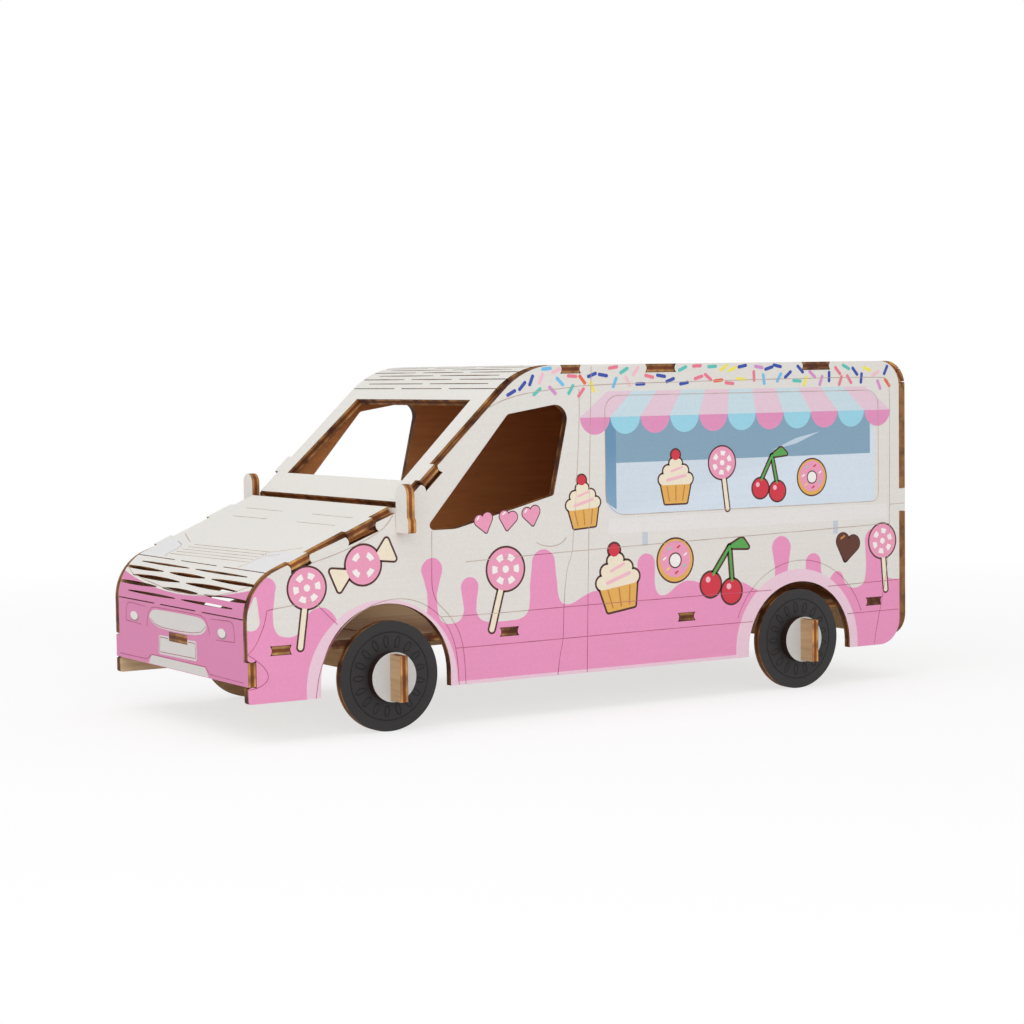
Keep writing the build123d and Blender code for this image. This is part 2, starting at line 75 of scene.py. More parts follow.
# Pink drips on the sides: distance behind the nose, top, half width, how much narrower the neck is
DRIPS = [
    (6.2, 47.9, 3.1, 1.3),
    (0.8, 44.6, 2.4, 0.0),
    (23.4, 38.2, 5.2, 0.0),
    (61.0, 50.6, 3.65, 2.0),
    (74.1, 44.1, 3.1, 1.2),
    (100.6, 51.1, 4.2, -0.8),
    (121.0, 37.0, 9.0, 0.0),
    (139.2, 47.8, 3.4, 0.2),
    (156.0, 38.1, 8.0, 0.0),
    (173.5, 36.8, 9.0, 0.0),
    (193.5, 50.6, 3.9, 1.3),
    (206.9, 44.3, 3.2, 0.2),
    (217.3, 37.6, 2.1, -0.6),
    (233.3, 51.3, 4.1, 0.5),
]
# Top of the pink between the drips: up, and then how it changes: behind the nose, over how far, by how much
PINK_UP = 30.0
PINK_STEPS = [(98.0, 6.0, 2.8), (214.0, 4.0, -1.4), (236.0, 3.0, 2.2)]
DRIP_NECK = 7.0                 # over what height below its round head a drip turns to its neck
DRIP_FILLET = 9.0               # how widely drips melt into the pink below them
# White tear in the pink near the nose: up from and to. Then its distance behind the nose and its half width, each
# at its foot, with the change up to its top
TEAR_UP = (35.4, 42.0)
TEAR_BACK = (1.4, 1.3)
TEAR_HALF = (2.6, -2.1)
# Top of the nose's pink along the sheet: in the middle, and how it rises with the square of the distance across
NOSE_PINK = (23.35, 0.0022)
# Pale shields beside the grille: across from and to, along the sheet from and to, corner radius
NOSE_SHIELD = (28.5, 60.0, 34.5, 46.6, 4.0)
# Pale bands round the wheel arches: centre behind the nose, centre up, radius
ARCH_BANDS = [(44.0, 13.8, 25.4), (200.2, 13.8, 25.6)]
SILL_BAND = 1.1                 # height of the pale band along the sill between them
# Serving window: behind the nose from and to, up from and to
WINDOW = (124.0, 235.2, 60.4, 97.8)
WINDOW_RADIUS = 6.0
# Corner radii of the line burnt round it: upper front, upper rear, lower rear, lower front
WINDOW_LINE_RADII = (5, 5, 3, 7.5)
# Where its glass ends behind the nose, and the corner radius there
WINDOW_END = (233.6, 2.0)
BEYOND = 20.0                   # far enough past an edge for the corners there not to count
COUNTER_UP = 76.7
GLASS_END_BACK = 231.6
# Front reveal: its rear edge behind the nose, the foot of that edge up, slope of the foot towards the nose
REVEAL = (128.1, 62.2, 0.6)
# Where the reveal's ink begins to deepen: up, over what height
REVEAL_DEEP = (66.0, 16.0)
# Where the sheen at the foot of the glass ends: behind the nose, up, slope, over what height
SHEEN = (128.0, 60.0, 0.24, 4.0)
# Streak of light on the glass: its middle behind the nose and up, slope, half height there, how fast it tapers
STREAK = (200.0, 81.72, 0.28, 0.9, 0.09)
# Ledge under the window and the brackets under the ledge: behind the nose from and to, up from and to, corner radius
LEDGE = (125.0, 239.0, 54.6, 59.4, 0.4)
BRACKETS = [(137.85, 139.95, 50.3, 54.6, 0.1), (215.45, 217.55, 50.3, 54.6, 0.1)]
# Awning: the ends of its top and of its valance line, and the heights of both
AWNING_TOP = (125.0, 229.5, 99.1)
AWNING_LINE = (114.6, 240.6, 91.1)
STRIPES = 11
SCALLOP_ABOVE = 0.3             # how far the middle of a scallop's circle lies above the line
SCALLOP_GAP = 0.05              # half of the gap between two scallops

# Lines burnt into each side: points (behind the nose, up)
SIDE_LINES = {
    "waist": [(73.0, 48.8), (110.4, 50.0), (193.0, 51.6), (240.1, 52.7)],
    "rear_frame": [
        (107.4, 100.2), (119.0, 101.4), (236.5, 102.4), (239.6, 101.2), (240.4, 98.4), (240.1, 60.5),
        (239.9, 45.3), (238.0, 32.6), (234.2, 17.9), (233.1, 12.0),
    ],
    "cab_back": [(119.1, 106.9), (118.3, 82.6), (117.7, 61.7), (117.3, 46.9), (117.1, 42.2), (116.3, 12.0)],
    "door_back": [
        (114.4, 100.1), (114.5, 90.5), (113.6, 77.4), (113.0, 68.9), (112.6, 62.7), (111.6, 53.8),
        (111.3, 49.2), (109.4, 45.4), (108.6, 40.4), (107.8, 31.9), (107.6, 22.6), (106.4, 18.8), (105.4, 12.0),
    ],
    "handle": [(98.1, 53.4), (100.0, 52.4), (102.1, 52.0), (104.4, 51.9), (106.3, 52.3), (107.9, 53.0), (109.1, 54.3)],
    "belt": [(63.6, 32.8), (79.3, 32.5), (119.5, 33.0), (189.3, 33.1)],
    "belt_tail": [(213.0, 32.9), (243.8, 33.4)],
    "step": [(69.0, 23.0), (91.7, 23.0), (138.5, 23.3), (181.5, 23.3)],
    "step_tail": [(221.4, 23.2), (243.8, 23.3)],
    "tail_seam": [(240.0, 59.1), (246.7, 59.3)],
    "door_front": [
        (61.2, 58.6), (60.9, 44.0), (61.1, 41.0), (62.1, 38.0), (64.0, 35.8), (66.2, 33.9), (69.6, 29.2),
        (71.3, 24.5), (72.0, 19.2), (72.3, 12.0),
    ],
    "ledge": [(48.2, 64.1), (46.5, 61.9), (44.8, 60.2), (41.9, 58.4), (34.7, 55.3), (26.7, 52.8), (20.7, 51.2)],
    "front_arch": [
        (21.6, 11.9), (23.0, 20.1), (27.3, 28.5), (33.2, 34.3), (41.5, 38.4), (50.0, 39.5), (57.6, 37.6), (64.3, 32.8),
        (68.2, 26.4), (69.6, 19.0), (69.9, 11.9),
    ],
    "screen_ledge": [(81.4, 94.8), (86.4, 97.0), (93.7, 98.8), (101.9, 99.8), (107.4, 100.2)],
    "wing": [(0.1, 26.2), (1.6, 27.5), (2.9, 29.1), (5.0, 33.3), (5.9, 36.1), (6.3, 38.4)],
    "bumper_end": [(0.1, 26.1), (2.0, 24.9), (5.2, 22.3), (6.6, 19.7), (5.9, 17.9), (3.5, 16.5), (0.3, 16.1)],
}
# Lines burnt into each side whose corners stay sharp
WING_TOP = [(6.3, 38.4), (8.0, 38.7), (21.7, 40.15), (23.4, 38.2), (29.0, 32.9)]
# Line over the rear wheel arch: centre behind the nose, centre up, radius, and the degrees of its points
REAR_ARCH = (201.2, 14.4, 27.9, range(158, 19, -6))
# Height where the inner faces begin to turn from the paler wood of painted light to the warmer lining of painted
# shade, and over what height
SHADED_LINING_FROM, SHADED_LINING_OVER = 42.0, 6.0
NOSE_STEP = 1.5                 # longest step of a line that follows the nose's bend
LINE_SUNK = 0.03                # how far the middle of a burnt line lies below the surface
# Lines burnt into the nose and bonnet: points (along the sheet from its lower edge, across)
NOSE_LINES = {
    "grille_1": [(45.2, 26.8), (44.3, 28.6), (43.6, 26.6)],
    "vent_1": [(70.3, 12.0), (70.3, 38.4)],
    "vent_2": [(64.7, 11.8), (64.9, 36.3)],
    "vent_3": [(70.2, -33.6), (70.2, -7.8)],
    "vent_4": [(64.3, -32.3), (64.6, -8.5)],
    "fold_left": [(45.6, 27.6), (47.4, 33.0), (50.4, 41.4)],
    "fold_right": [(45.6, -27.6), (47.4, -33.0), (50.4, -41.4)],
    "shield_left": [(35.6, 26.0), (37.4, 28.2), (40.4, 28.0), (42.6, 28.8), (43.8, 30.6), (45.2, 36.0)],
    "shield_right": [(35.6, -26.6), (37.4, -28.2), (40.4, -28.0), (42.6, -28.8), (43.8, -30.6), (45.2, -36.0)],
    "smile": [
        (29.6, -45.2), (27.3, -38.7), (25.9, -27.2), (24.8, -16.0), (24.0, -3.8), (23.8, 7.7), (24.1, 15.4),
        (24.9, 26.4), (26.7, 36.2), (29.0, 43.6),
    ],
    "badge_top": [
        (11.6, -23.2), (13.9, -22.9), (16.2, -21.8), (17.6, -19.6), (18.0, -17.4), (18.1, -7.3), (18.2, 4.1),
        (18.2, 16.0), (17.4, 19.9), (14.9, 21.9), (12.9, 22.7),
    ],
    "badge_low": [(14.1, -20.2), (12.9, -17.7), (12.2, -11.9), (12.1, 0.5), (12.4, 10.2), (13.2, 16.6), (15.1, 20.0)],
    "plate": [(9.1, -7.4), (9.1, -13.5), (4.5, -13.9), (4.9, 12.6), (9.4, 12.3), (9.35, 7.4)],
    "bumper": [
        (1.2, -44.9), (1.3, -24.0), (2.9, -20.6), (3.1, -20.0), (3.1, 18.8), (2.9, 19.4), (1.2, 22.4), (1.0, 44.9),
    ],
    "lamp_left": [(17.7, 23.8), (18.1, 36.6), (17.4, 38.6), (16.0, 39.3), (12.2, 39.7), (11.8, 27.4)],
    "lamp_right": [(17.7, -24.3), (18.1, -36.5), (17.4, -38.6), (16.0, -39.3), (12.2, -39.7), (11.8, -27.4)],
    **{f"grille_{row + 2}": [(37.6 + row * 1.75, -26.5 + row), (38.9 + row * 1.75, 27.2)] for row in range(5)},
}
# White shapes on the nose: points (along the sheet, across)
NOSE_SHAPES = {
    "badge": [
        (14.9, -21.5), (16.1, -20.4), (16.9, -18.8), (17.3, -16.5), (17.45, -7.4), (17.5, 4.1), (17.45, 14.0),
        (17.1, 17.6), (16.4, 19.5), (15.4, 20.5), (14.4, 20.3), (13.3, 18.9), (12.4, 16.2), (11.9, 12.4),
        (11.65, 6.0), (11.6, -1.0), (11.65, -8.0), (11.9, -14.0), (12.6, -17.8), (13.6, -20.4),
    ],
    "plate": [
        (9.1, -14.3), (9.7, -13.6), (9.8, -6.75), (8.45, -6.75), (8.45, 6.75), (9.95, 6.75), (10.1, 12.4), (9.6, 13.1),
        (4.7, 13.3), (4.1, 12.6), (3.8, -13.9), (4.3, -14.6),
    ],
    "bumper": [(0.15, -22.6), (2.9, -20.1), (2.9, 18.9), (0.15, 21.5)],
}
# Layers of a lamp: ink, how far it is moved up the sheet and to the right, and its scale
LAMP_LAYERS = [("lamp_shade", 0.0, 1.0), ("lamp", 0.28, 0.86)]
# Round lamps on the nose: along the sheet, across, half length, half height
LAMPS = [(13.85, 31.15, 3.1, 1.55), (13.85, -33.0, 3.3, 1.55)]

# Inks of the sprinkles, and how often each comes up
SPRINKLE_INKS = {
    "sprinkle_blue": ((62, 84, 172), 6),
    "sprinkle_sky": ((118, 196, 240), 2),
    "sprinkle_rose": ((238, 128, 150), 5),
    "sprinkle_blush": ((246, 196, 208), 2),
    "sprinkle_yellow": ((246, 232, 104), 2),
    "sprinkle_teal": ((96, 200, 190), 2),
    "sprinkle_orange": ((236, 112, 78), 2),
    "sprinkle_lilac": ((216, 150, 206), 1),
}
# Where the middles of sprinkles lie: behind the nose from and to, up from and to
SPRINKLE_ZONE = (89.5, 241.6, 98.9, 107.3)
# Awning that they keep above: behind the nose from and to, up
SPRINKLE_AWNING = (121.0, 233.0, 100.9)
# Slope that they keep below: behind the nose, up, rise
SPRINKLE_SLOPE = (89.5, 99.0, 0.8)
SPRINKLE_GAP = 3.5              # least distance between two middles
SPRINKLE_EDGE = 0.6             # how far their ends keep below the roof
SPRINKLE_TRIES = 6000
SPRINKLE_THICKNESS = 0.06
SPRINKLE_PROUD = 0.01           # how far the middle of a sprinkle stands out

# Print that stands out from a surface, in millimetres: its foot, and the top of each layer above the one below
PRINT_FOOT = 0.004
PRINT_LIFT = 0.02
TYRE_MARK_SUNK = 0.02           # how far the middle of a mark's line lies below the surface
TYRE_LOOPS = 17
TYRE_SIZES = {"Loop radius": 10.4, "Loop length": 3.4, "Loop width": 1.5, "Rim radius": 13.1, "Line": 0.17}

# Studio, in metres: lamps by name with their place and size, and the camera
STUDIO_LAMPS = {"key": ((0.7, 0.15, 1.1), 1.0), "side": ((0.35, 1.2, 0.35), 0.8)}
LIT_POINT = Vector((0, 0, 0.04))
STUDIO_HALF = 6.0
WHITE = (1, 1, 1, 1)
FLOOR_GREYS = (0.9, 0.35)       # for the light that it throws back, and as the camera sees it
FLOOR_GLOW = 0.68
# Where the floor begins to turn white, and over how far, in millimetres
WHITE_FROM, WHITE_OVER = 260.0, 300.0
CAMERA_PLACE = (0.412621, 0.651405, 0.106228)
CAMERA_FORWARD = Vector((-0.530507, -0.84552, -0.060483)).normalized()
CAMERA_DOWN = Vector((0.043698, 0.043978, -0.998076))


def linear(red, green, blue):
    """Colour from 0 to 255 as it shows on a screen, as Blender's linear red, green and blue."""
    shown = [part / 255 for part in (red, green, blue)]
    return tuple(part / 12.92 if part <= 0.04045 else ((part + 0.055) / 1.055) ** 2.4 for part in shown)


def colour_setting(name, description, red, green, blue):
    """A colour that the user may change."""
    return bpy.props.FloatVectorProperty(
        name=name, description=description, subtype="COLOR", size=3, min=0, max=1, default=linear(red, green, blue))


def length_setting(name, description, millimetres):
    """A length that the user may change."""
    return bpy.props.FloatProperty(
        name=name, description=description, default=millimetres * MM, min=0, unit="LENGTH")


class VanPrint(bpy.types.PropertyGroup):
    """Inks of the printed faces."""

    white: colour_setting("White", "Ground of the bonnet and roof", 238, 235, 229)
    # Painted shade: the sides' white is the bonnet's white ink made darker, for the shade on the upright sides
    shaded_side_white: colour_setting("Side white", "Ground of the sides", 230, 226, 220)
    pink: colour_setting("Pink", "Drips on the sides", 238, 153, 194)
    # Painted shade: the nose's pink is the sides' pink ink made darker, for the shade on the forward-facing nose
    shaded_nose_pink: colour_setting("Nose pink", "Lower nose", 226, 142, 184)
    pale_pink: colour_setting("Pale pink", "Bands round the wheel arches and along the sills", 240, 206, 221)
    awning_pink: colour_setting("Awning pink", "Pink stripes above the valance", 234, 204, 218)
    awning_blue: colour_setting("Awning blue", "Blue stripes above the valance", 205, 225, 233)
    valance_pink: colour_setting("Valance pink", "Pink scallops", 230, 150, 192)
    valance_blue: colour_setting("Valance blue", "Blue scallops", 158, 216, 234)
    glass: colour_setting("Glass", "Upper part of the serving window", 136, 168, 190)
    glass_reveal: colour_setting("Glass reveal", "Front reveal of the serving window", 108, 150, 182)
    reveal_pale: colour_setting("Pale reveal", "Foot of the front reveal", 130, 166, 196)
    glass_pale: colour_setting("Pale glass", "Lower part of the serving window", 212, 224, 235)
    glass_sheen: colour_setting("Sheen", "Front and foot of the serving window's lower part", 218, 229, 240)
    glass_streak: colour_setting("Streak", "Streak of light on the serving window", 196, 214, 228)
    ledge: colour_setting("Ledge", "Ledge under the serving window", 234, 231, 228)
    bracket: colour_setting("Brackets", "Brackets under the ledge", 200, 206, 216)
    shield: colour_setting("Shields", "Shields beside the grille", 236, 235, 236)
    badge: colour_setting("Badge", "Badge, plate and bumper on the nose", 226, 222, 218)
    lamp: colour_setting("Lamps", "Lamps on the nose", 240, 234, 232)
    lamp_shade: colour_setting("Lamp shade", "Lower edge of the lamps", 168, 140, 146)
    outline: colour_setting("Outline", "Outlines of the sweets", 84, 50, 44)
    tyre: colour_setting("Tyre", "Black of the wheels", 42, 40, 40)
    tyre_mark: colour_setting("Tyre marks", "Loops and rim line of the wheels", 24, 23, 23)
    tyre_mark_dark: colour_setting("Dark tyre marks", "Darkest parts of the same", 6, 6, 6)
    hub: colour_setting("Hub", "Grey of the hub discs", 206, 206, 204)


class VanWood(bpy.types.PropertyGroup):
    """Bare and scorched wood."""

    bare: colour_setting("Bare wood", "Unprinted faces of the plywood", 204, 172, 132)
    # Painted light: the same plywood made paler on the floor and below the arches' tops, where light comes in
    painted_lit_wood: colour_setting("Pale wood", "Floor, and the insides below the top of the wheel arches", 234, 208, 172)
    vein: colour_setting("Vein", "Darker growth lines", 176, 140, 100)
    # Painted shade: the same plywood made warmer and redder where the cab's insides lie in shade
    shaded_lining: colour_setting("Lining", "Inner faces of the sides and roof", 218, 150, 92)
    shaded_lining_vein: colour_setting("Lining vein", "Darker growth lines of the inner faces", 204, 134, 80)
    tan: colour_setting("Tan", "Outer plies of a laser-cut edge", 222, 166, 98)
    core: colour_setting("Core", "Middle ply of a laser-cut edge", 150, 80, 30)
    scorched: colour_setting("Scorched wood", "Where the laser burnt deepest", 84, 40, 16)
    line: colour_setting("Line", "Lines burnt into white print", 166, 136, 120)
    line_pale: colour_setting("Pale line", "Lines burnt into white print, where they fade", 212, 198, 186)
    pink_line: colour_setting("Line on pink", "Lines burnt into pink print", 150, 72, 96)
    pink_line_pale: colour_setting("Pale line on pink", "Lines burnt into pink print, where they fade", 204, 122, 150)
    line_width: length_setting("Line width", "Width of the lines burnt into the print", 0.24)


class VanSweets(bpy.types.PropertyGroup):
    """Sprinkles and sweets."""

    sprinkles: bpy.props.IntProperty(name="Sprinkles", description="Sprinkles on each side", default=86, min=0)
    length: length_setting("Length", "Length of a sprinkle", 3.9)
    width: length_setting("Width", "Width of a sprinkle", 1.15)
    seed: bpy.props.IntProperty(name="Seed", description="Seed of the scatter", default=7)


class VanStage(bpy.types.PropertyGroup):
    """Light and camera."""

    key: bpy.props.FloatProperty(name="Key light", description="Power of each lamp", default=3.8, min=0)
    fill: bpy.props.FloatProperty(name="Fill light", description="Strength of the world's light", default=0.62, min=0)
    lens: bpy.props.FloatProperty(name="Lens", description="Focal length", default=82.57, min=1, unit="CAMERA")


def by_node(operation):
    """Method that puts a Field and others through one Math node."""
    def method(self, *others):
        return self.math(operation, *others)
    return method


class Field:
    """A number that varies over a surface, as a socket of a material. A shape is the distance to its edge, below
    0 inside it, so that low gives the union of two shapes, high what they share, and melt a union with a fillet."""

    def __init__(self, paint, socket):
        self.paint = paint
        self.socket = socket

    def math(self, operation, *others, clamp=False):
        """This number and others through one Math node."""
        inputs = dict(enumerate((self, *others)))
        return Field(self.paint, self.paint.add("ShaderNodeMath", inputs, operation=operation, use_clamp=clamp)[0])

    __add__ = __radd__ = by_node("ADD")
    __sub__ = by_node("SUBTRACT")
    __mul__ = __rmul__ = by_node("MULTIPLY")
    __truediv__ = by_node("DIVIDE")
    __mod__ = by_node("FLOORED_MODULO")
    __gt__ = by_node("GREATER_THAN")
    __abs__ = by_node("ABSOLUTE")
    low = by_node("MINIMUM")
    high = by_node("MAXIMUM")
    melt = by_node("SMOOTH_MIN")
    root = by_node("SQRT")

    def __rsub__(self, other):
        return (self * -1) + other

    def clamp(self):
        """This number held between 0 and 1."""
        return self.math("ADD", 0.0, clamp=True)

    def inside(self):
        """1 within a shape and 0 outside, with a thin soft edge."""
        return (self / -SOFT_EDGE).math("ADD", 0.5, clamp=True)


class Graph:
    """A node tree whose nodes are added one by one."""

    def __init__(self, tree):
        self.tree = tree
        tree.nodes.clear()

    def add(self, kind, inputs=None, **settings):
        """Outputs of a new node with its settings and with the values or links of its inputs. A list holds several
        links to one input."""
        node = self.tree.nodes.new(kind)
        for key, value in settings.items():
            setattr(node, key, value)
        for key, values in (inputs or {}).items():
            for value in values if isinstance(values, list) else [values]:
                if isinstance(value, Field):
                    value = value.socket
                if isinstance(value, bpy.types.NodeSocket):
                    self.tree.links.new(value, node.inputs[key])
                else:
                    node.inputs[key].default_value = value
        return node.outputs

    def blend(self, factor, below, above):
        """Shader below where the factor is 0, and above where it is 1."""
        return self.add("ShaderNodeMixShader", {0: factor, 1: below, 2: above})[0]

    def seen(self):
        """1 for the camera's rays, straight or by way of gloss or glass, and 0 for rays that carry light."""
        rays = self.add("ShaderNodeLightPath")
        seen = rays["Is Camera Ray"]
        for label in ("Is Glossy Ray", "Is Transmission Ray"):
            seen = self.add("ShaderNodeMath", {0: seen, 1: rays[label]}, operation="MAXIMUM")[0]
        return seen


class Paint(Graph):
    """A material."""

    def __init__(self, name):
        self.material = bpy.data.materials.new(name)
        self.material.use_nodes = True
        super().__init__(self.material.node_tree)

    def place(self):
        """Distance behind the nose, across and up, in millimetres."""
        self.millimetres = self.shade(self.add("ShaderNodeTexCoord")["Object"], 1 / MM)
        parts = self.add("ShaderNodeSeparateXYZ", {0: self.millimetres})
        return LENGTH / 2 - Field(self, parts[0]), Field(self, parts[1]), Field(self, parts[2])

    def noise(self, along_x, along_y, along_z, detail):
        """Noise from 0 to 1 whose features are this many millimetres long each way."""
        size = (1 / along_x, 1 / along_y, 1 / along_z)
        scaled = self.add("ShaderNodeVectorMath", {0: self.millimetres, 1: size}, operation="MULTIPLY")[0]
        return Field(self, self.add("ShaderNodeTexNoise", {"Vector": scaled, "Scale": 1.0, "Detail": detail})[0])

    def mix(self, factor, below, above):
        """Colour below where the factor is 0, and above where it is 1."""
        below, above = (
            colour if isinstance(colour, bpy.types.NodeSocket) else (*colour, 1.0) for colour in (below, above))
        return self.add("ShaderNodeMix", {0: factor, 6: below, 7: above}, data_type="RGBA")[2]

    def shade(self, colour, factor):
        """Colour or place times a number."""
        return self.add("ShaderNodeVectorMath", {0: colour, 3: factor}, operation="SCALE")[0]

    def finish(self, colour, roughness, relief=None, depth=0.02 * MM):
        """Principled surface, with a relief from 0 to 1 that is so many metres deep."""
        inputs = {"Base Color": colour, "Roughness": roughness, "Specular IOR Level": 0.35}
        if relief is not None:
            bump = {"Height": relief, "Distance": depth, "Strength": 1.0}
            inputs["Normal"] = self.add("ShaderNodeBump", bump)[0]
        self.add("ShaderNodeOutputMaterial", {0: self.add("ShaderNodeBsdfPrincipled", inputs)[0]})
        return self.material


def unroll(back, up, bend):
    """Distance along a bent sheet's outer face from the start of its bend, and depth below that face, side-on.
    The sheet is flat on both sides of its bend."""
    (centre_back, centre_up), radius, first, last = bend
    first, last = math.radians(first), math.radians(last)
    to_front = centre_back - back
    to_top = up - centre_up
    angle = to_top.math("ARCTAN2", to_front).high(first).low(last)
    sine, cosine = angle.math("SINE"), angle.math("COSINE")
    depth = radius - (to_front * cosine + to_top * sine)
    return (angle - first) * radius + (to_top * cosine - to_front * sine), depth


def print_ground(paint, colour):
    """Ink colour with the fine mottle of print on wood, and the relief that goes with it."""
    dots = paint.noise(0.45, 0.45, 0.45, 1.0)
    streaks = paint.noise(26.0, 0.7, 0.7, 2.0)
    tone = 1.0 + (dots - 0.5) * 0.16 + (streaks - 0.5) * 0.05
    return paint.shade(colour, tone), dots * 0.5 + streaks * 0.5


def reach(x, y):
    """Straight distance that goes x one way and y the other."""
    return (x * x + y * y).root()


def rounded_box(x, y, left, right, low, high, radius):
    """Distance to a rounded rectangle, below 0 inside it."""
    over_x = (abs(x - (left + right) / 2) - ((right - left) / 2 - radius)).high(0.0)
    over_y = (abs(y - (low + high) / 2) - ((high - low) / 2 - radius)).high(0.0)
    return reach(over_x, over_y) - radius


def circle(x, y, centre_x, centre_y, radius):
    """Distance to a circle, below 0 inside it."""
    return reach(x - centre_x, y - centre_y) - radius


def drip(back, up, middle, top, half, pinch):
    """Distance to a rounded drip that stands on the pink band, below 0 inside it."""
    above = (up - (top - half)).high(0.0)
    narrowed = ((top - half - up) / DRIP_NECK).clamp() * -pinch + half
    return reach(back - middle, above) - narrowed


def pink_of_side(back, across, up):
    """Distance to the pink of a side, with its drips and the white tear near the nose, below 0 inside it."""
    pink = up - PINK_UP
    for start, length, change in PINK_STEPS:
        pink = pink - ((back - start) / length).clamp() * change
    for middle, top, half, pinch in DRIPS:
        pink = pink.melt(drip(back, up, middle, top, half, pinch), DRIP_FILLET)
    foot, top = TEAR_UP
    rise = ((up - foot) / (top - foot)).clamp()
    middle, half = (start + rise * change for start, change in (TEAR_BACK, TEAR_HALF))
    tear = reach(back - middle, (foot - up).high(up - top).high(0.0)) - half
    return pink.high(tear * -1)


def along_nose(back, up):
    """Distance along the nose sheet from its lower edge, over its outer face."""
    return unroll(back, up, NOSE_BEND)[0] + (NOSE_BEND[0][1] - NOSE_LIP_UP)


def pink_of_nose(back, across, up):
    """Distance to the pink of the nose, below 0 inside it."""
    middle, rise = NOSE_PINK
    return along_nose(back, up) - (middle + across * across * rise)


def side_print(inks):
    """Print of a side: white ground, pink drips, pale arches, serving window and awning."""
    paint = Paint("side_print")
    back, across, up = paint.place()
    wobble = (paint.noise(3.0, 3.0, 3.0, 0.0) - 0.5) * 0.25
    pink = pink_of_side(back, across, up) + wobble
    # The sides' white ground carries painted shade: it is darker than the bonnet's white
    colour = paint.mix(pink.inside(), inks.shaded_side_white, inks.pink)
    trim = (up - (SILL_UP + SILL_BAND)).high(ARCH_BANDS[0][0] - back).high(back - ARCH_BANDS[1][0])
    for middle, centre_up, radius in ARCH_BANDS:
        legs = (abs(back - middle) - radius).high(up - centre_up)
        trim = trim.low(circle(back, up, middle, centre_up, radius)).low(legs)
    colour = paint.mix(trim.inside(), colour, inks.pale_pink)
    colour = paint.mix(rounded_box(back, up, *LEDGE).inside(), colour, inks.ledge)
    for bracket in BRACKETS:
        colour = paint.mix(rounded_box(back, up, *bracket).inside(), colour, inks.bracket)
    left, right, low, high = WINDOW
    pane_end, end_radius = WINDOW_END
    pane = rounded_box(back, up, left, right + BEYOND, low, high, WINDOW_RADIUS)
    pane = pane.high(rounded_box(back, up, left - BEYOND, pane_end, low, high, end_radius))
    streak_back, streak_up, slope, half_height, taper = STREAK
    aside = back - streak_back
    streak = abs(up - streak_up - aside * slope) - half_height + abs(aside) * taper
    sheen_back, sheen_up, sheen_slope, sheen_height = SHEEN
    sheen = ((up - sheen_up - (back - sheen_back) * sheen_slope) / sheen_height + 0.5).clamp()
    pale = paint.mix(sheen, inks.glass_sheen, inks.glass_pale)
    glass = paint.mix((COUNTER_UP - up).high(back - GLASS_END_BACK).inside(), pale, inks.glass)
    glass = paint.mix(streak.inside(), glass, inks.glass_streak)
    reveal_back, reveal_up, reveal_slope = REVEAL
    reveal = (back - reveal_back).high(reveal_up + (reveal_back - back) * reveal_slope - up)
    deep_up, deep_height = REVEAL_DEEP
    deep = ((up - deep_up) / deep_height).clamp()
    glass = paint.mix(reveal.inside(), glass, paint.mix(deep, inks.reveal_pale, inks.glass_reveal))
    colour = paint.mix(pane.inside(), colour, glass)
    colour, relief = print_ground(paint, awning(paint, inks, colour, back, up))
    return paint.finish(colour, 0.62 + relief * 0.1, relief)


def awning(paint, inks, colour, back, up):
    """Awning painted over a colour: slanted stripes above a line, and scallops below it."""
    top_from, top_to, top_up = AWNING_TOP
    line_from, line_to, line_up = AWNING_LINE
    rise = ((up - line_up) / (top_up - line_up)).clamp()
    left = line_from + rise * (top_from - line_from)
    width = (line_to - line_from) + rise * ((top_to - top_from) - (line_to - line_from))
    stripe = (back - left) / width * STRIPES
    odd = (stripe.math("FLOOR") % 2) > 0.5
    past_ends = abs(stripe - STRIPES / 2) - STRIPES / 2
    roof = (line_up - up).high(up - top_up).high(past_ends)
    colour = paint.mix(roof.inside(), colour, paint.mix(odd, inks.awning_pink, inks.awning_blue))
    pitch = (line_to - line_from) / STRIPES
    aside = ((stripe % 1) - 0.5) * pitch
    hang = (line_up + SCALLOP_ABOVE - up).high(0.0)
    scallop = reach(aside, hang) - (pitch / 2 - SCALLOP_GAP)
    valance = scallop.high(up - line_up).high(past_ends)
    return paint.mix(valance.inside(), colour, paint.mix(odd, inks.valance_pink, inks.valance_blue))


def nose_print(inks):
    """Print of the nose and bonnet: pink below a curve, with pale shields beside the grille."""
    paint = Paint("nose_print")
    back, across, up = paint.place()
    # The nose's pink carries painted shade: it is darker than the sides' pink
    colour = paint.mix(pink_of_nose(back, across, up).inside(), inks.white, inks.shaded_nose_pink)
    shield = rounded_box(abs(across), along_nose(back, up), *NOSE_SHIELD)
    colour = paint.mix(shield.inside(), colour, inks.shield)
    colour, relief = print_ground(paint, colour)
    return paint.finish(colour, 0.6 + relief * 0.1, relief)


def plain_print(name, ink):
    """Print of one colour."""
    paint = Paint(name)
    paint.place()
    colour, relief = print_ground(paint, tuple(ink))
    return paint.finish(colour, 0.62 + relief * 0.1, relief)


def tyre_print(inks):
    """Black print of a wheel, rubbed grey in places."""
    paint = Paint("tyre_print")
    paint.place()
    dust = paint.noise(0.3, 0.3, 0.3, 2.0)
    rub = paint.noise(6.0, 6.0, 6.0, 3.0)
    dark, pale = ([part * share for part in inks.tyre] for share in (0.6, 1.7))
    colour = paint.mix(dust * 0.5 + rub * 0.4, dark, pale)
    return paint.finish(colour, 0.42 + rub * 0.2, dust, 0.03 * MM)


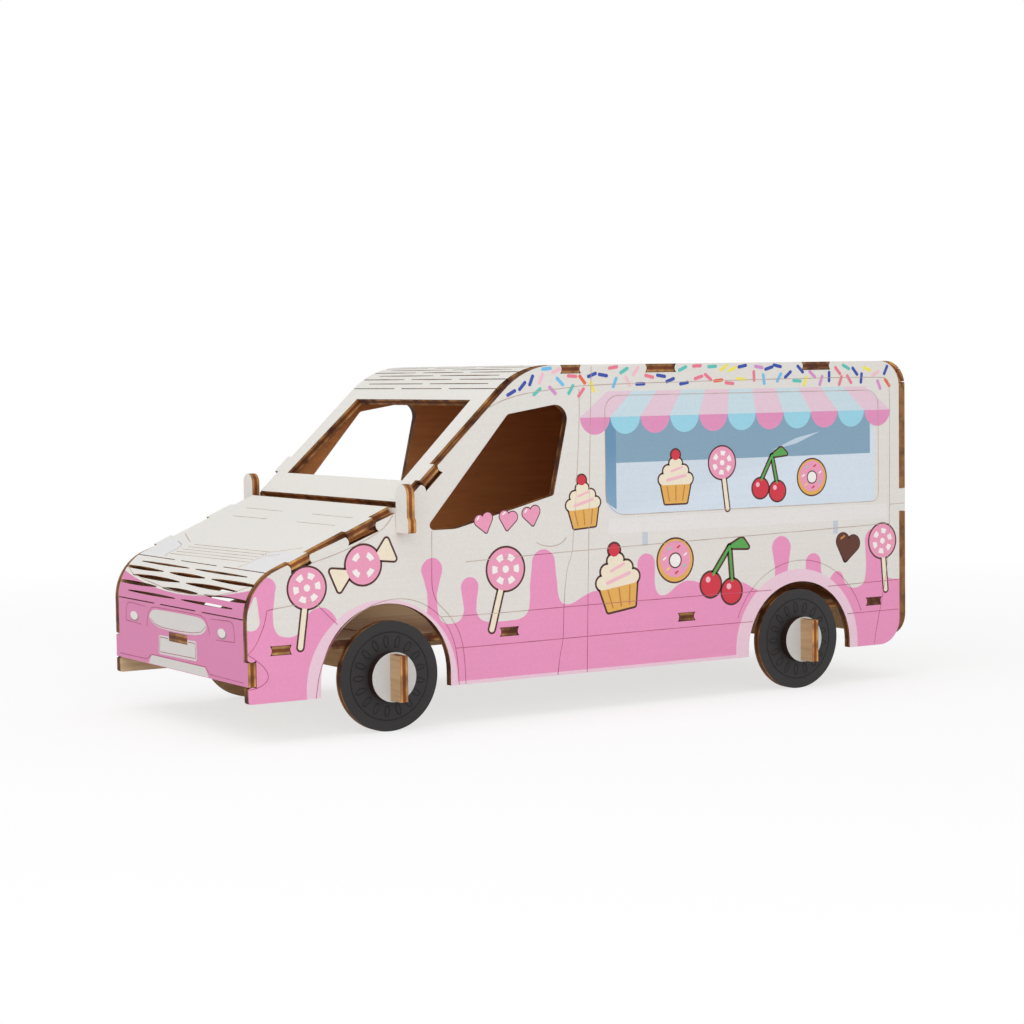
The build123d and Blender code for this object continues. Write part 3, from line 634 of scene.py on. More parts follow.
def bare_wood(name, pale, dark, grain, woods=None):
    """Bare plywood whose grain runs along X or Y. Given the woods, it is the warmer lining above the wheel arches,
    which is painted shade of the same wood.
    """
    paint = Paint(name)
    up = paint.place()[2]
    size = [30.0 if axis == grain else 1.3 for axis in "xyz"]
    veins = (paint.noise(*size, 3.0) * 1.8 - 0.5).clamp()
    pores = paint.noise(*(part / 5 for part in size), 1.0)
    colour = paint.mix(veins, pale, dark)
    if woods:
        # Warmer lining above the arches: painted shade
        shaded_lining = paint.mix(veins, woods.shaded_lining, woods.shaded_lining_vein)
        colour = paint.mix(((up - SHADED_LINING_FROM) / SHADED_LINING_OVER).clamp(), colour, shaded_lining)
    colour = paint.shade(colour, 1.0 + (pores - 0.5) * 0.25)
    return paint.finish(colour, 0.75, pores, 0.04 * MM)


def cut_edge(name, woods, depth_of, soot_and_shade=0.0, undarkened_behind=None):
    """Laser-cut edge: tan outer plies, a darker middle ply, thin glue lines and burns that come and go. depth_of
    gives the depth below the printed face. Soot and painted shade from 0 to 1 blacken it, as laser soot and as the
    shade of edges that lie in shadow, up to a distance behind the nose if one is given."""
    paint = Paint(name)
    back, across, up = paint.place()
    depth = depth_of(back, across, up)
    if undarkened_behind:
        soot_and_shade = (undarkened_behind - back).clamp() * soot_and_shade
    outer = abs(depth / PLY - 0.5)
    burn = paint.noise(5.0, 5.0, 5.0, 2.0)
    fibre = paint.noise(0.9, 0.9, 0.25, 2.0)
    ply = paint.mix(((outer - 0.15) * 9.0).clamp(), woods.core, woods.tan)
    ply = paint.mix(((outer - 0.43) * 18.0).clamp() * 0.65, ply, woods.scorched)
    # Soot and painted shade: the burns spread and the whole edge darkens, for laser soot and for edges in shade
    colour = paint.mix((burn * 2.6 - (0.65 + soot_and_shade)).clamp(), woods.scorched, ply)
    colour = paint.shade(colour, (0.72 + fibre * 0.56) * (1.0 - soot_and_shade))
    return paint.finish(colour, 0.7, fibre, 0.05 * MM)


def burnt_ink(name, woods, pink_of):
    """Burnt line: brown on white print and dark rose on pink print."""
    paint = Paint(name)
    pink = pink_of(*paint.place())
    tone = (paint.noise(8.0, 8.0, 8.0, 2.0) * 2.0 - 0.5).clamp()
    on_white = paint.mix(tone, woods.line_pale, woods.line)
    on_pink = paint.mix(tone, woods.pink_line_pale, woods.pink_line)
    return paint.finish(paint.mix(pink.inside(), on_white, on_pink), 0.8)


def turned(bend, back, up):
    """Direction out of a bent sheet at a point."""
    (centre_back, centre_up), _, first, last = bend
    angle = math.atan2(up - centre_up, centre_back - back)
    if angle < -math.pi / 2:
        angle += 2 * math.pi
    angle = min(max(angle, math.radians(first)), math.radians(last))
    return Vector((math.cos(angle), 0, math.sin(angle)))


def dress(node, outward, printed, bare, edge):
    """Gives a CAD node's outer faces the print, its inner faces bare wood and its cut edges scorched wood.
    outward takes a face's centre (behind the nose, up) and returns the direction out of the sheet there."""
    mesh = NODES[node].data
    mesh.materials.clear()
    for material in (printed, bare, edge):
        mesh.materials.append(material)
    for face in mesh.polygons:
        out = outward(LENGTH / 2 - face.center.x / MM, face.center.z / MM)
        facing = face.normal.dot(out)
        face.material_index = 0 if facing > FACING else 1 if facing < -FACING else 2


def eased(points):
    """Points of a line with its corners cut twice, so that it turns smoothly."""
    for _ in range(2):
        cut = [points[0]]
        for first, second in zip(points, points[1:]):
            for share in (0.25, 0.75):
                cut.append(tuple(a + (b - a) * share for a, b in zip(first, second)))
        points = [*cut, points[-1]]
    return points


def divided(points, step):
    """Points of a line with more points between them, at most a step apart."""
    dense = []
    for first, second in zip(points, points[1:]):
        count = max(1, math.ceil(math.dist(first, second) / step))
        dense += [tuple(a + (b - a) * k / count for a, b in zip(first, second)) for k in range(count)]
    return [*dense, points[-1]]


def path_mesh(name, lines):
    """Mesh of edges only, one chain for each line."""
    points, edges = [], []
    for line in lines:
        edges += [(len(points) + k, len(points) + k + 1) for k in range(len(line) - 1)]
        points += line
    mesh = bpy.data.meshes.new(name)
    mesh.from_pydata(points, edges, [])
    return mesh


class Growth(Graph):
    """A Geometry Nodes tree that turns points or edges into a piece."""

    def __init__(self, name, inputs):
        super().__init__(bpy.data.node_groups.new(name, "GeometryNodeTree"))
        sockets = self.tree.interface
        sockets.new_socket("Geometry", in_out="OUTPUT", socket_type="NodeSocketGeometry")
        for label, kind in {"Geometry": "Geometry", **inputs}.items():
            sockets.new_socket(label, in_out="INPUT", socket_type=f"NodeSocket{kind}")
        self.given = self.add("NodeGroupInput")

    def number(self, operation, first, second):
        """Two numbers through one Math node."""
        return self.add("ShaderNodeMath", {0: first, 1: second}, operation=operation)[0]

    def vector(self, x=0.0, y=0.0, z=0.0):
        """Vector of three numbers."""
        return self.add("ShaderNodeCombineXYZ", {0: x, 1: y, 2: z})[0]

    def ring(self, sides, radius):
        """Closed curve of so many points."""
        return self.add("GeometryNodeCurvePrimitiveCircle", {"Resolution": sides, "Radius": radius})[0]

    def thread(self, curve, sides, radius):
        """Tube along a curve."""
        inputs = {"Curve": curve, "Profile Curve": self.ring(sides, radius), "Fill Caps": True}
        return self.add("GeometryNodeCurveToMesh", inputs)[0]

    def moved(self, geometry, **inputs):
        """Geometry through a Transform node."""
        return self.add("GeometryNodeTransform", {"Geometry": geometry, **inputs})[0]

    def copies(self, points, geometry, turn=(0, 0, 0)):
        """Real copies of a geometry on points."""
        inputs = {"Points": points, "Instance": geometry, "Rotation": turn}
        return self.add("GeometryNodeRealizeInstances", {0: self.add("GeometryNodeInstanceOnPoints", inputs)[0]})[0]

    def attribute(self, name, kind):
        """Attribute of the points."""
        return self.add("GeometryNodeInputNamedAttribute", {"Name": name}, data_type=kind)[0]

    def inked(self, geometry, material, selection=True):
        """Geometry with a material on the selected faces."""
        inputs = {"Geometry": geometry, "Selection": selection, "Material": material}
        return self.add("GeometryNodeSetMaterial", inputs)[0]

    def finish(self, geometry):
        """The tree, with this geometry as what it makes."""
        self.add("NodeGroupOutput", {0: geometry})
        return self.tree


def burnt_line_tree():
    """Round threads along the edges of a mesh, sunk into the surface to their middle."""
    tree = Growth("burnt_lines", {"Radius": "Float", "Ink": "Material"})
    curve = tree.add("GeometryNodeMeshToCurve", {0: tree.given["Geometry"]})[0]
    return tree.finish(tree.inked(tree.thread(curve, 6, tree.given["Radius"]), tree.given["Ink"]))


def tyre_mark_tree():
    """Ring of long loops round the hub and a thin ring near the rim, as threads on a point."""
    tree = Growth("tyre_marks", {"Loops": "Int", **dict.fromkeys(TYRE_SIZES, "Float"), "Ink": "Material"})
    given = tree.given
    oval = tree.moved(tree.ring(12, 0.5), Scale=tree.vector(given["Loop length"], given["Loop width"], 1.0))
    turn = tree.number("DIVIDE", tree.add("GeometryNodeInputIndex")[0], given["Loops"])
    spin = tree.vector(z=tree.number("MULTIPLY", turn, math.tau))
    loops = tree.copies(tree.ring(given["Loops"], given["Loop radius"]), oval, spin)
    rings = tree.add("GeometryNodeJoinGeometry", {0: [tree.ring(56, given["Rim radius"]), loops]})[0]
    marks = tree.moved(tree.thread(rings, 5, given["Line"]), Rotation=UPRIGHT)
    return tree.finish(tree.inked(tree.copies(given["Geometry"], marks), given["Ink"]))


def sprinkle_tree(materials):
    """Flat rounded rods on points, turned by the attribute turn and inked by the attribute ink."""
    tree = Growth("sprinkles", dict.fromkeys(("Length", "Width", "Thickness"), "Float"))
    given = tree.given
    half_width = tree.number("MULTIPLY", given["Width"], 0.5)
    straight = tree.number("SUBTRACT", given["Length"], given["Width"])
    end = {"Vertices": 10, "Radius": half_width, "Depth": given["Thickness"]}
    ends = []
    for side in (-0.5, 0.5):
        offset = tree.vector(tree.number("MULTIPLY", straight, side))
        disc = tree.add("GeometryNodeMeshCylinder", end, fill_type="NGON")[0]
        ends.append(tree.moved(disc, Translation=offset, Rotation=UPRIGHT))
    rod = tree.add("GeometryNodeConvexHull", {0: tree.add("GeometryNodeJoinGeometry", {0: ends})[0]})[0]
    geometry = tree.copies(given["Geometry"], rod, tree.vector(y=tree.attribute("turn", "FLOAT")))
    ink = tree.attribute("ink", "INT")
    for number, material in enumerate(materials):
        chosen = tree.add("FunctionNodeCompare", {2: ink, 3: number}, data_type="INT", operation="EQUAL")[0]
        geometry = tree.inked(geometry, material, chosen)
    return tree.finish(geometry)


def new_object(name, data):
    """New object in the scene."""
    made = bpy.data.objects.new(name, data)
    bpy.context.scene.collection.objects.link(made)
    return made


def grow(name, mesh, tree, values):
    """New object whose mesh is what a Geometry Nodes tree makes of a mesh. Values go in by input name."""
    piece = new_object(name, mesh)
    modifier = piece.modifiers.new("grow", "NODES")
    modifier.node_group = tree
    for item in tree.interface.items_tree:
        if item.item_type == "SOCKET" and item.in_out == "INPUT" and item.name in values:
            modifier[item.identifier] = values[item.name]
    piece.update_tag()
    depsgraph = bpy.context.evaluated_depsgraph_get()
    grown = bpy.data.meshes.new_from_object(piece.evaluated_get(depsgraph))
    piece.modifiers.remove(modifier)
    piece.data = grown
    grown.name = name
    bpy.data.meshes.remove(mesh)
    return piece


def on_side(back, up, side, proud):
    """Point that stands proud of a side's outer face, in metres."""
    return ((LENGTH / 2 - back) * MM, side * (HALF_WIDTH + proud) * MM, up * MM)


def on_nose(along, across, proud):
    """Point that stands proud of the nose sheet's outer face, in metres."""
    (centre_back, centre_up), radius, _, last = NOSE_BEND
    last = math.radians(last)
    flat = centre_up - NOSE_LIP_UP
    angle = min(max((along - flat) / radius, 0.0), last)
    rest = max(along - flat - last * radius, 0.0)
    below = min(along - flat, 0.0)
    back = centre_back - (radius + proud) * math.cos(angle) + rest * math.sin(angle)
    up = centre_up + (radius + proud) * math.sin(angle) + rest * math.cos(angle) + below
    return ((LENGTH / 2 - back) * MM, across * MM, up * MM)


def arc(x, y, radius, angles):
    """Points on a circle at angles in radians."""
    return [(x + radius * math.cos(angle), y + radius * math.sin(angle)) for angle in angles]


def half_hull(ordered):
    """Half of the band pulled tight round points, from the first to the last."""
    chain = []
    for x, y in ordered:
        while len(chain) > 1:
            (x1, y1), (x2, y2) = chain[-2:]
            if (x2 - x1) * (y - y1) - (y2 - y1) * (x - x1) > 0:
                break
            chain.pop()
        chain.append((x, y))
    return chain[:-1]


def round_outline(circles, wider=0.0):
    """Outline round circles (x, y, radius), as a band pulled tight round them would lie."""
    points = set()
    for x, y, radius in circles:
        points.update(arc(x, y, radius + wider, (2 * math.pi * step / 40 for step in range(40))))
    points = sorted(points)
    return half_hull(points) + half_hull(points[::-1])


def rounds(ink, *shapes):
    """Layers of one ink, each the outline round some circles."""
    return [(ink, round_outline(circles)) for circles in shapes]


def stripes(x, y, radius, width, count, sweep):
    """White layers, each a part of one ring that sweeps so many degrees."""
    layers = []
    for number in range(count):
        angles = [math.radians(number * 360 // count + sweep * step / 14) for step in range(15)]
        inner_back = arc(x, y, radius - width / 2, angles[::-1])
        layers.append(("white_icing", arc(x, y, radius + width / 2, angles) + inner_back))
    return layers


def icing_sprinkles():
    """Sprinkles round a doughnut."""
    inks = ("white_icing", "strawberry", "mint", "white_icing", "lemon", "strawberry", "mint")
    places = arc(0, 0.3, 3.8, (math.radians(20 + number * 360 / len(inks)) for number in range(len(inks))))
    return [layer for ink, (x, y) in zip(inks, places)
            for layer in rounds(ink, [(x - 0.4, y - 0.25, 0.25), (x + 0.4, y + 0.25, 0.25)])]


HEART = [[(-2.4, 1.8, 2.7), (0, -4.4, 0.6)], [(2.4, 1.8, 2.7), (0, -4.4, 0.6)]]
GLINT = [(-3.4, 2.6, 0.4), (-2.2, 3.6, 0.4)]
# Sweets: shapes that get an outline, as an ink and circles (x, y, radius) with a band round them, and the layers
# of detail that lie on them
SWEETS = {
    "lollipop": (
        [("cream", [(0, -11, 0.7), (0, -1, 0.7)]), ("candy_pink", [(0, 4, 5.2)])],
        stripes(0, 4, 3.1, 1.5, 6, 32) + rounds("white_icing", [(0, 4, 0.9)]),
    ),
    "doughnut": (
        [("wafer", [(0, 0, 6.2)])],
        rounds("candy_pink", [(0, 0.4, 5.3)]) + rounds("outline", [(0, 0, 2.3)]) + rounds("white_icing", [(0, 0, 1.9)])
        + icing_sprinkles(),
    ),
    "cherries": (
        [
            ("strawberry", [(-3.2, -3.5, 2.9)]), ("strawberry", [(3.2, -4.6, 2.9)]),
            ("leaf", [(-2.8, -1.0, 0.35), (1.2, 6.0, 0.35)]), ("leaf", [(3.0, -2.0, 0.35), (1.2, 6.0, 0.35)]),
            ("leaf", [(2.0, 6.2, 0.5), (4.6, 7.2, 1.1), (6.6, 6.4, 0.3)]),
        ],
        rounds("blush", [(-4.2, -2.4, 0.7)], [(2.2, -3.5, 0.7)]),
    ),
    "wrapped_sweet": (
        [
            ("cream", [(-4.0, 0, 0.6), (-8.0, 2.4, 0.5), (-8.0, -2.4, 0.5)]),
            ("cream", [(4.0, 0, 0.6), (8.0, 2.4, 0.5), (8.0, -2.4, 0.5)]), ("candy_pink", [(0, 0, 4.6)]),
        ],
        stripes(0, 0, 2.6, 1.3, 4, 42),
    ),
    "fairy_cake": (
        [
            ("wafer", [(-3.6, -5.4, 0.4), (3.6, -5.4, 0.4), (5.0, 0.6, 0.4), (-5.0, 0.6, 0.4)]),
            ("cream", [(-4.4, 1.2, 1.6), (4.4, 1.2, 1.6)]), ("cream", [(-2.8, 3.6, 1.6), (2.8, 3.6, 1.6)]),
            ("cream", [(-0.8, 5.8, 1.4), (0.8, 5.8, 1.4)]), ("strawberry", [(0, 8.2, 1.5)]),
        ],
        rounds("toffee", *([(x * 0.9, -5.0, 0.16), (x * 1.2, -0.8, 0.16)] for x in (-2.6, 0, 2.6)))
        + rounds("blush", [(-3.0, 1.0, 0.4), (3.4, 2.2, 0.4)], [(-1.6, 3.6, 0.3), (2.2, 4.6, 0.3)]),
    ),
    "chocolate_heart": ([("chocolate", lobe) for lobe in HEART], rounds("toffee", GLINT)),
    "candy_heart": ([("candy_pink", lobe) for lobe in HEART], rounds("white_icing", GLINT)),
}
# Sweets on each side: kind, behind the nose, up, scale, turn in degrees
SIDE_SWEETS = [
    ("lollipop", 18.6, 39.6, 1.15, -8),
    ("wrapped_sweet", 37.8, 49.8, 1.25, 24),
    ("lollipop", 85.5, 41.0, 1.25, -16),
    ("candy_heart", 79.5, 60.2, 0.62, 14),
    ("candy_heart", 88.0, 60.6, 0.62, -8),
    ("candy_heart", 96.5, 61.6, 0.62, 10),
    ("fairy_cake", 115.6, 63.2, 1.05, 4),
    ("fairy_cake", 128.5, 38.5, 1.35, 8),
    ("doughnut", 150.5, 45.0, 1.1, 0),
    ("cherries", 169.5, 40.5, 1.35, -8),
    ("lollipop", 237.2, 42.5, 1.1, 5),
    ("chocolate_heart", 221.5, 45.5, 0.95, -12),
    ("fairy_cake", 151.0, 69.5, 1.1, 0),
    ("lollipop", 170.0, 71.5, 1.0, 8),
    ("cherries", 188.5, 70.5, 1.1, 0),
    ("doughnut", 206.5, 69.5, 0.95, 0),
]
SWEET_INKS = {
    "cream": (244, 232, 208), "candy_pink": (240, 160, 190), "white_icing": (248, 244, 240), "wafer": (232, 178, 92),
    "strawberry": (214, 58, 74), "mint": (140, 214, 190), "lemon": (246, 222, 110), "leaf": (92, 168, 84),
    "blush": (246, 190, 204), "chocolate": (96, 56, 44), "toffee": (196, 132, 70),
}


def layered_print(name, sheets, materials, place):
    """Thin layers of ink, one above the other: (ink, outline, level) each, with place(x, y, proud) giving points."""
    inks = sorted({ink for ink, _, _ in sheets})
    mesh = bpy.data.meshes.new(name)
    form = bmesh.new()
    for ink, outline, level in sheets:
        low, high = ([form.verts.new(place(x, y, proud)) for x, y in outline]
                     for proud in (PRINT_FOOT, PRINT_LIFT + PRINT_LIFT * level))
        faces = [form.faces.new(high), form.faces.new(low[::-1])]
        for i in range(len(outline)):
            j = (i + 1) % len(outline)
            faces.append(form.faces.new((low[i], low[j], high[j], high[i])))
        for face in faces:
            face.material_index = inks.index(ink)
    bmesh.ops.recalc_face_normals(form, faces=form.faces)
    form.to_mesh(mesh)
    form.free()
    for ink in inks:
        mesh.materials.append(materials[ink])
    return new_object(name, mesh)


def scatter(chance, sweets, panel, side):
    """Places and turns of sprinkles on a side panel, as (behind the nose, up, turn), all on the wood and apart."""
    left, right, low, high = SPRINKLE_ZONE
    awning_from, awning_to, awning_up = SPRINKLE_AWNING
    slope_back, slope_up, slope = SPRINKLE_SLOPE
    half_length = sweets.length / 2 / MM
    kept = []
    for _ in range(SPRINKLE_TRIES):
        if len(kept) == sweets.sprinkles:
            break
        back, up = chance.uniform(left, right), chance.uniform(low, high)
        turn = chance.uniform(0, math.pi)
        if up < awning_up and awning_from < back < awning_to or up > slope_up + (back - slope_back) * slope:
            continue
        if any(math.hypot(back - other_back, up - other_up) < SPRINKLE_GAP for other_back, other_up, _ in kept):
            continue
        tips = [point for reached in (-half_length, 0, half_length) for point in arc(back, up, reached, [turn])]
        if all(tip_up < ROOF_UP - SPRINKLE_EDGE for _, tip_up in tips) and all(
                panel.ray_cast(Vector(on_side(*tip, side, 5.0)), Vector((0, -side, 0)), distance=6 * MM)[0]
                for tip in tips):
            kept.append((back, up, turn))
    return kept


def window_line():
    """Points of the line round the serving window."""
    left, right, low, high = WINDOW
    points = []
    corners = zip((left, right, right, left), (high, high, low, low), (1, -1, -1, 1), (-1, -1, 1, 1), WINDOW_LINE_RADII)
    for number, (x, y, inward, upward, radius) in enumerate(corners):
        angles = [math.radians(180 - number * 90 - step * 90 / 8) for step in range(9)]
        points += arc(x + inward * radius, y + upward * radius, radius, angles)
    return [*points, points[0]]


def rear_arch_line():
    """Points of the line over the rear wheel arch."""
    back, up, radius, degrees = REAR_ARCH
    return arc(back, up, radius, map(math.radians, degrees))


def sweet_sheets():
    """Outlines and fills of the sweets on a side, as (ink, outline, level)."""
    sheets = []
    for kind, back, up, scale, turn in SIDE_SWEETS:
        shapes, details = SWEETS[kind]
        cosine, sine = math.cos(math.radians(turn)), math.sin(math.radians(turn))
        fills = [(ink, round_outline(circles)) for ink, circles in shapes] + details
        layers = [("outline", round_outline(circles, 0.5), 0) for _, circles in shapes]
        layers += [(ink, outline, 1 + number * 0.5) for number, (ink, outline) in enumerate(fills)]
        for ink, outline, level in layers:
            sheets.append((ink, [
                (back + scale * (x * cosine - y * sine), up + scale * (x * sine + y * cosine)) for x, y in outline
            ], level))
    return sheets


class VAN_OT_sides(bpy.types.Operator):
    """Print the two side panels and scorch their edges"""

    bl_idname = "van.sides"
    bl_label = "Side panels"

    def execute(self, context):
        inks, woods = context.scene.van_print, context.scene.van_wood
        printed = side_print(inks)
        # Inner faces: paler wood below the arches' tops is painted light, the warmer lining above is painted shade
        bare = bare_wood("side_wood", woods.painted_lit_wood, woods.bare, "x", woods)
        # Side edges darkened by soot and painted shade, as on the shaded window rims
        edge = cut_edge("side_edge", woods, lambda back, across, up: HALF_WIDTH - abs(across), soot_and_shade=0.3)
        for name, side in SIDES.items():
            dress(f"side_panel_{name}", lambda back, up: Vector((0, side, 0)), printed, bare, edge)
        return {"FINISHED"}


class VAN_OT_bent_sheets(bpy.types.Operator):
    """Print the nose and roof sheets and scorch their hinge slots"""

    bl_idname = "van.bent_sheets"
    bl_label = "Nose and roof sheets"

    def execute(self, context):
        inks, woods = context.scene.van_print, context.scene.van_wood
        # Inner faces: paler wood below the arches' tops is painted light, the warmer lining above is painted shade
        bare = bare_wood("sheet_wood", woods.painted_lit_wood, woods.bare, "x", woods)

        def nose_out(back, up):
            return turned(NOSE_BEND, back, up)

        def roof_out(back, up):
            return turned(SCREEN_BEND if back < ROOF_MIDDLE_BACK else TAIL_BEND, back, up)

        def nose_depth(back, across, up):
            return unroll(back, up, NOSE_BEND)[1]

        def roof_depth(back, across, up):
            behind = back > ROOF_MIDDLE_BACK
            return unroll(back, up, SCREEN_BEND)[1] * (1 - behind) + unroll(back, up, TAIL_BEND)[1] * behind

        dress("nose_sheet", nose_out, nose_print(inks), bare, cut_edge("nose_edge", woods, nose_depth))
        roof_ink = plain_print("roof_print", inks.white)
        # Roof edges darkened by soot and painted shade, except near the tail
        roof_edge = cut_edge("roof_edge", woods, roof_depth, soot_and_shade=0.18, undarkened_behind=LENGTH - SOOT_AND_SHADE_END)
        dress("roof_sheet", roof_out, roof_ink, bare, roof_edge)
        return {"FINISHED"}


class VAN_OT_flat_sheets(bpy.types.Operator):
    """Finish the floor, the axle sheets and the mirror sheet"""

    bl_idname = "van.flat_sheets"
    bl_label = "Floor, axles and mirrors"

    def execute(self, context):
        inks, woods = context.scene.van_print, context.scene.van_wood
        # The floor's paler wood is painted light
        floor_wood = bare_wood("floor_wood", woods.painted_lit_wood, woods.bare, "x")
        # Floor edges darkened by soot and painted shade
        floor_edge = cut_edge("floor_edge", woods, lambda back, across, up: FLOOR_UP - up, soot_and_shade=0.25)
        dress("floor_sheet", lambda back, up: Vector((0, 0, 1)), floor_wood, floor_wood, floor_edge)
        cross_wood = bare_wood("cross_wood", woods.bare, woods.vein, "y")
        for node in ("axle_sheet_front", "axle_sheet_rear", "mirror_sheet"):
            front_back = LENGTH / 2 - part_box(node)[1].x / MM
            edge = cut_edge(f"{node}_edge", woods, lambda back, across, up: back - front_back)
            printed = plain_print("mirror_print", inks.white) if node == "mirror_sheet" else cross_wood
            dress(node, lambda back, up: Vector((1, 0, 0)), printed, cross_wood, edge)
        return {"FINISHED"}


class VAN_OT_wheels(bpy.types.Operator):
    """Black wheels and grey hub discs"""

    bl_idname = "van.wheels"
    bl_label = "Wheels"

    def execute(self, context):
        inks, woods = context.scene.van_print, context.scene.van_wood
        wood = bare_wood("wheel_wood", woods.bare, woods.vein, "x")
        tyre = tyre_print(inks)
        hub = plain_print("hub_print", inks.hub)
        for end in ENDS:
            for name, side in SIDES.items():
                # Wheel and hub edges darkened: soot and black ink on the cut, and painted shade
                for node, ink, soot_and_shade in ((f"wheel_{end}_{name}", tyre, 0.3), (f"hub_disc_{end}_{name}", hub, 0.8)):
                    outer = max(abs(corner.y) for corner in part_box(node)) / MM
                    edge = cut_edge(f"{node}_edge", woods, lambda back, across, up: outer - abs(across), soot_and_shade)
                    dress(node, lambda back, up: Vector((0, side, 0)), ink, wood, edge)
        return {"FINISHED"}


class VAN_OT_burnt_lines(bpy.types.Operator):
    """Burn the thin lines into the sides, nose and bonnet"""

    bl_idname = "van.burnt_lines"
    bl_label = "Burnt lines"

    def execute(self, context):
        woods = context.scene.van_wood
        side_ink = burnt_ink("burnt_side", woods, pink_of_side)
        nose_ink = burnt_ink("burnt_nose", woods, pink_of_nose)
        tree = burnt_line_tree()
        lines = [*(eased(line) for line in SIDE_LINES.values()), WING_TOP, window_line(), rear_arch_line()]
        pieces = {
            f"burnt_lines_{name}": (side_ink, [[on_side(*point, side, -LINE_SUNK) for point in line] for line in lines])
            for name, side in SIDES.items()
        }
        pieces["burnt_lines_nose"] = (nose_ink, [
            [on_nose(*point, -LINE_SUNK) for point in divided(line, NOSE_STEP)] for line in NOSE_LINES.values()])
        for name, (ink, paths) in pieces.items():
            piece = grow(name, path_mesh(f"{name}_path", paths), tree, {"Radius": woods.line_width / 2, "Ink": ink})
            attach(piece, "body")
        return {"FINISHED"}


class VAN_OT_tyre_marks(bpy.types.Operator):
    """Emboss a ring of loops and a rim line on each wheel"""

    bl_idname = "van.tyre_marks"
    bl_label = "Tyre marks"

    def execute(self, context):
        paint = Paint("tyre_mark")
        paint.place()
        dust = paint.noise(1.5, 1.5, 1.5, 2.0)
        inks = context.scene.van_print
        ink = paint.finish(paint.mix(dust, inks.tyre_mark_dark, inks.tyre_mark), 0.5)
        tree = tyre_mark_tree()
        sizes = {label: size * MM for label, size in TYRE_SIZES.items()}
        for end in ENDS:
            for name, side in SIDES.items():
                low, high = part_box(f"wheel_{end}_{name}")
                middle = (low + high) / 2
                middle.y = side * (max(abs(low.y), abs(high.y)) - TYRE_MARK_SUNK * MM)
                mesh = bpy.data.meshes.new("hub_point")
                mesh.from_pydata([tuple(middle)], [], [])
                piece = grow(f"tyre_marks_{end}_{name}", mesh, tree, {"Loops": TYRE_LOOPS, "Ink": ink, **sizes})
                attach(piece, f"wheel_{end}_{name}")
        return {"FINISHED"}


class VAN_OT_sprinkles(bpy.types.Operator):
    """Scatter sprinkles along the top of each side"""

    bl_idname = "van.sprinkles"
    bl_label = "Sprinkles"

    def execute(self, context):
        sweets = context.scene.van_sweets
        materials = [plain_print(name, linear(*shown)) for name, (shown, _) in SPRINKLE_INKS.items()]
        tree = sprinkle_tree(materials)
        sizes = {"Length": sweets.length, "Width": sweets.width, "Thickness": SPRINKLE_THICKNESS * MM}
        for name, side in SIDES.items():
            chance = random.Random(sweets.seed)
            kept = scatter(chance, sweets, NODES[f"side_panel_{name}"], side)
            mesh = bpy.data.meshes.new("sprinkle_points")
            mesh.from_pydata([on_side(back, up, side, SPRINKLE_PROUD) for back, up, _ in kept], [], [])
            turns = mesh.attributes.new("turn", "FLOAT", "POINT")
            turns.data.foreach_set("value", [turn for _, _, turn in kept])
            inks = mesh.attributes.new("ink", "INT", "POINT")
            shares = [share for _, share in SPRINKLE_INKS.values()]
            inks.data.foreach_set("value", chance.choices(range(len(materials)), shares, k=len(kept)))
            piece = grow(f"sprinkles_{name}", mesh, tree, sizes)
            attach(piece, "body")
        return {"FINISHED"}


class VAN_OT_sweets(bpy.types.Operator):
    """Print sweets and fruit on each side"""

    bl_idname = "van.sweets"
    bl_label = "Sweets"

    def execute(self, context):
        materials = {name: plain_print(f"sweet_{name}", linear(*shown)) for name, shown in SWEET_INKS.items()}
        materials["outline"] = plain_print("sweet_outline", context.scene.van_print.outline)
        sheets = sweet_sheets()
        for name, side in SIDES.items():
            piece = layered_print(f"sweets_{name}", sheets, materials, lambda x, y, proud: on_side(x, y, side, proud))
            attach(piece, "body")
        return {"FINISHED"}


class VAN_OT_nose_shapes(bpy.types.Operator):
    """Print the blank badge, blank plate, bumper and lamps on the nose"""

    bl_idname = "van.nose_shapes"
    bl_label = "Nose shapes"

    def execute(self, context):
        inks = context.scene.van_print
        materials = {
            name: plain_print(f"{name}_print", getattr(inks, name)) for name in ("badge", "lamp", "lamp_shade")}
        sheets = [("badge", [(y, x) for x, y in outline], 0) for outline in NOSE_SHAPES.values()]
        for middle, aside, half_length, half_height in LAMPS:
            for level, (ink, shift, size) in enumerate(LAMP_LAYERS):
                outline = [(aside - shift + size * half_length * math.cos(a * math.pi / 12),
                            middle + shift + size * half_height * math.sin(a * math.pi / 12)) for a in range(24)]
                sheets.append((ink, outline, level))
        piece = layered_print("nose_shapes", sheets, materials, lambda x, y, proud: on_nose(y, x, proud))
        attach(piece, "body")
        return {"FINISHED"}


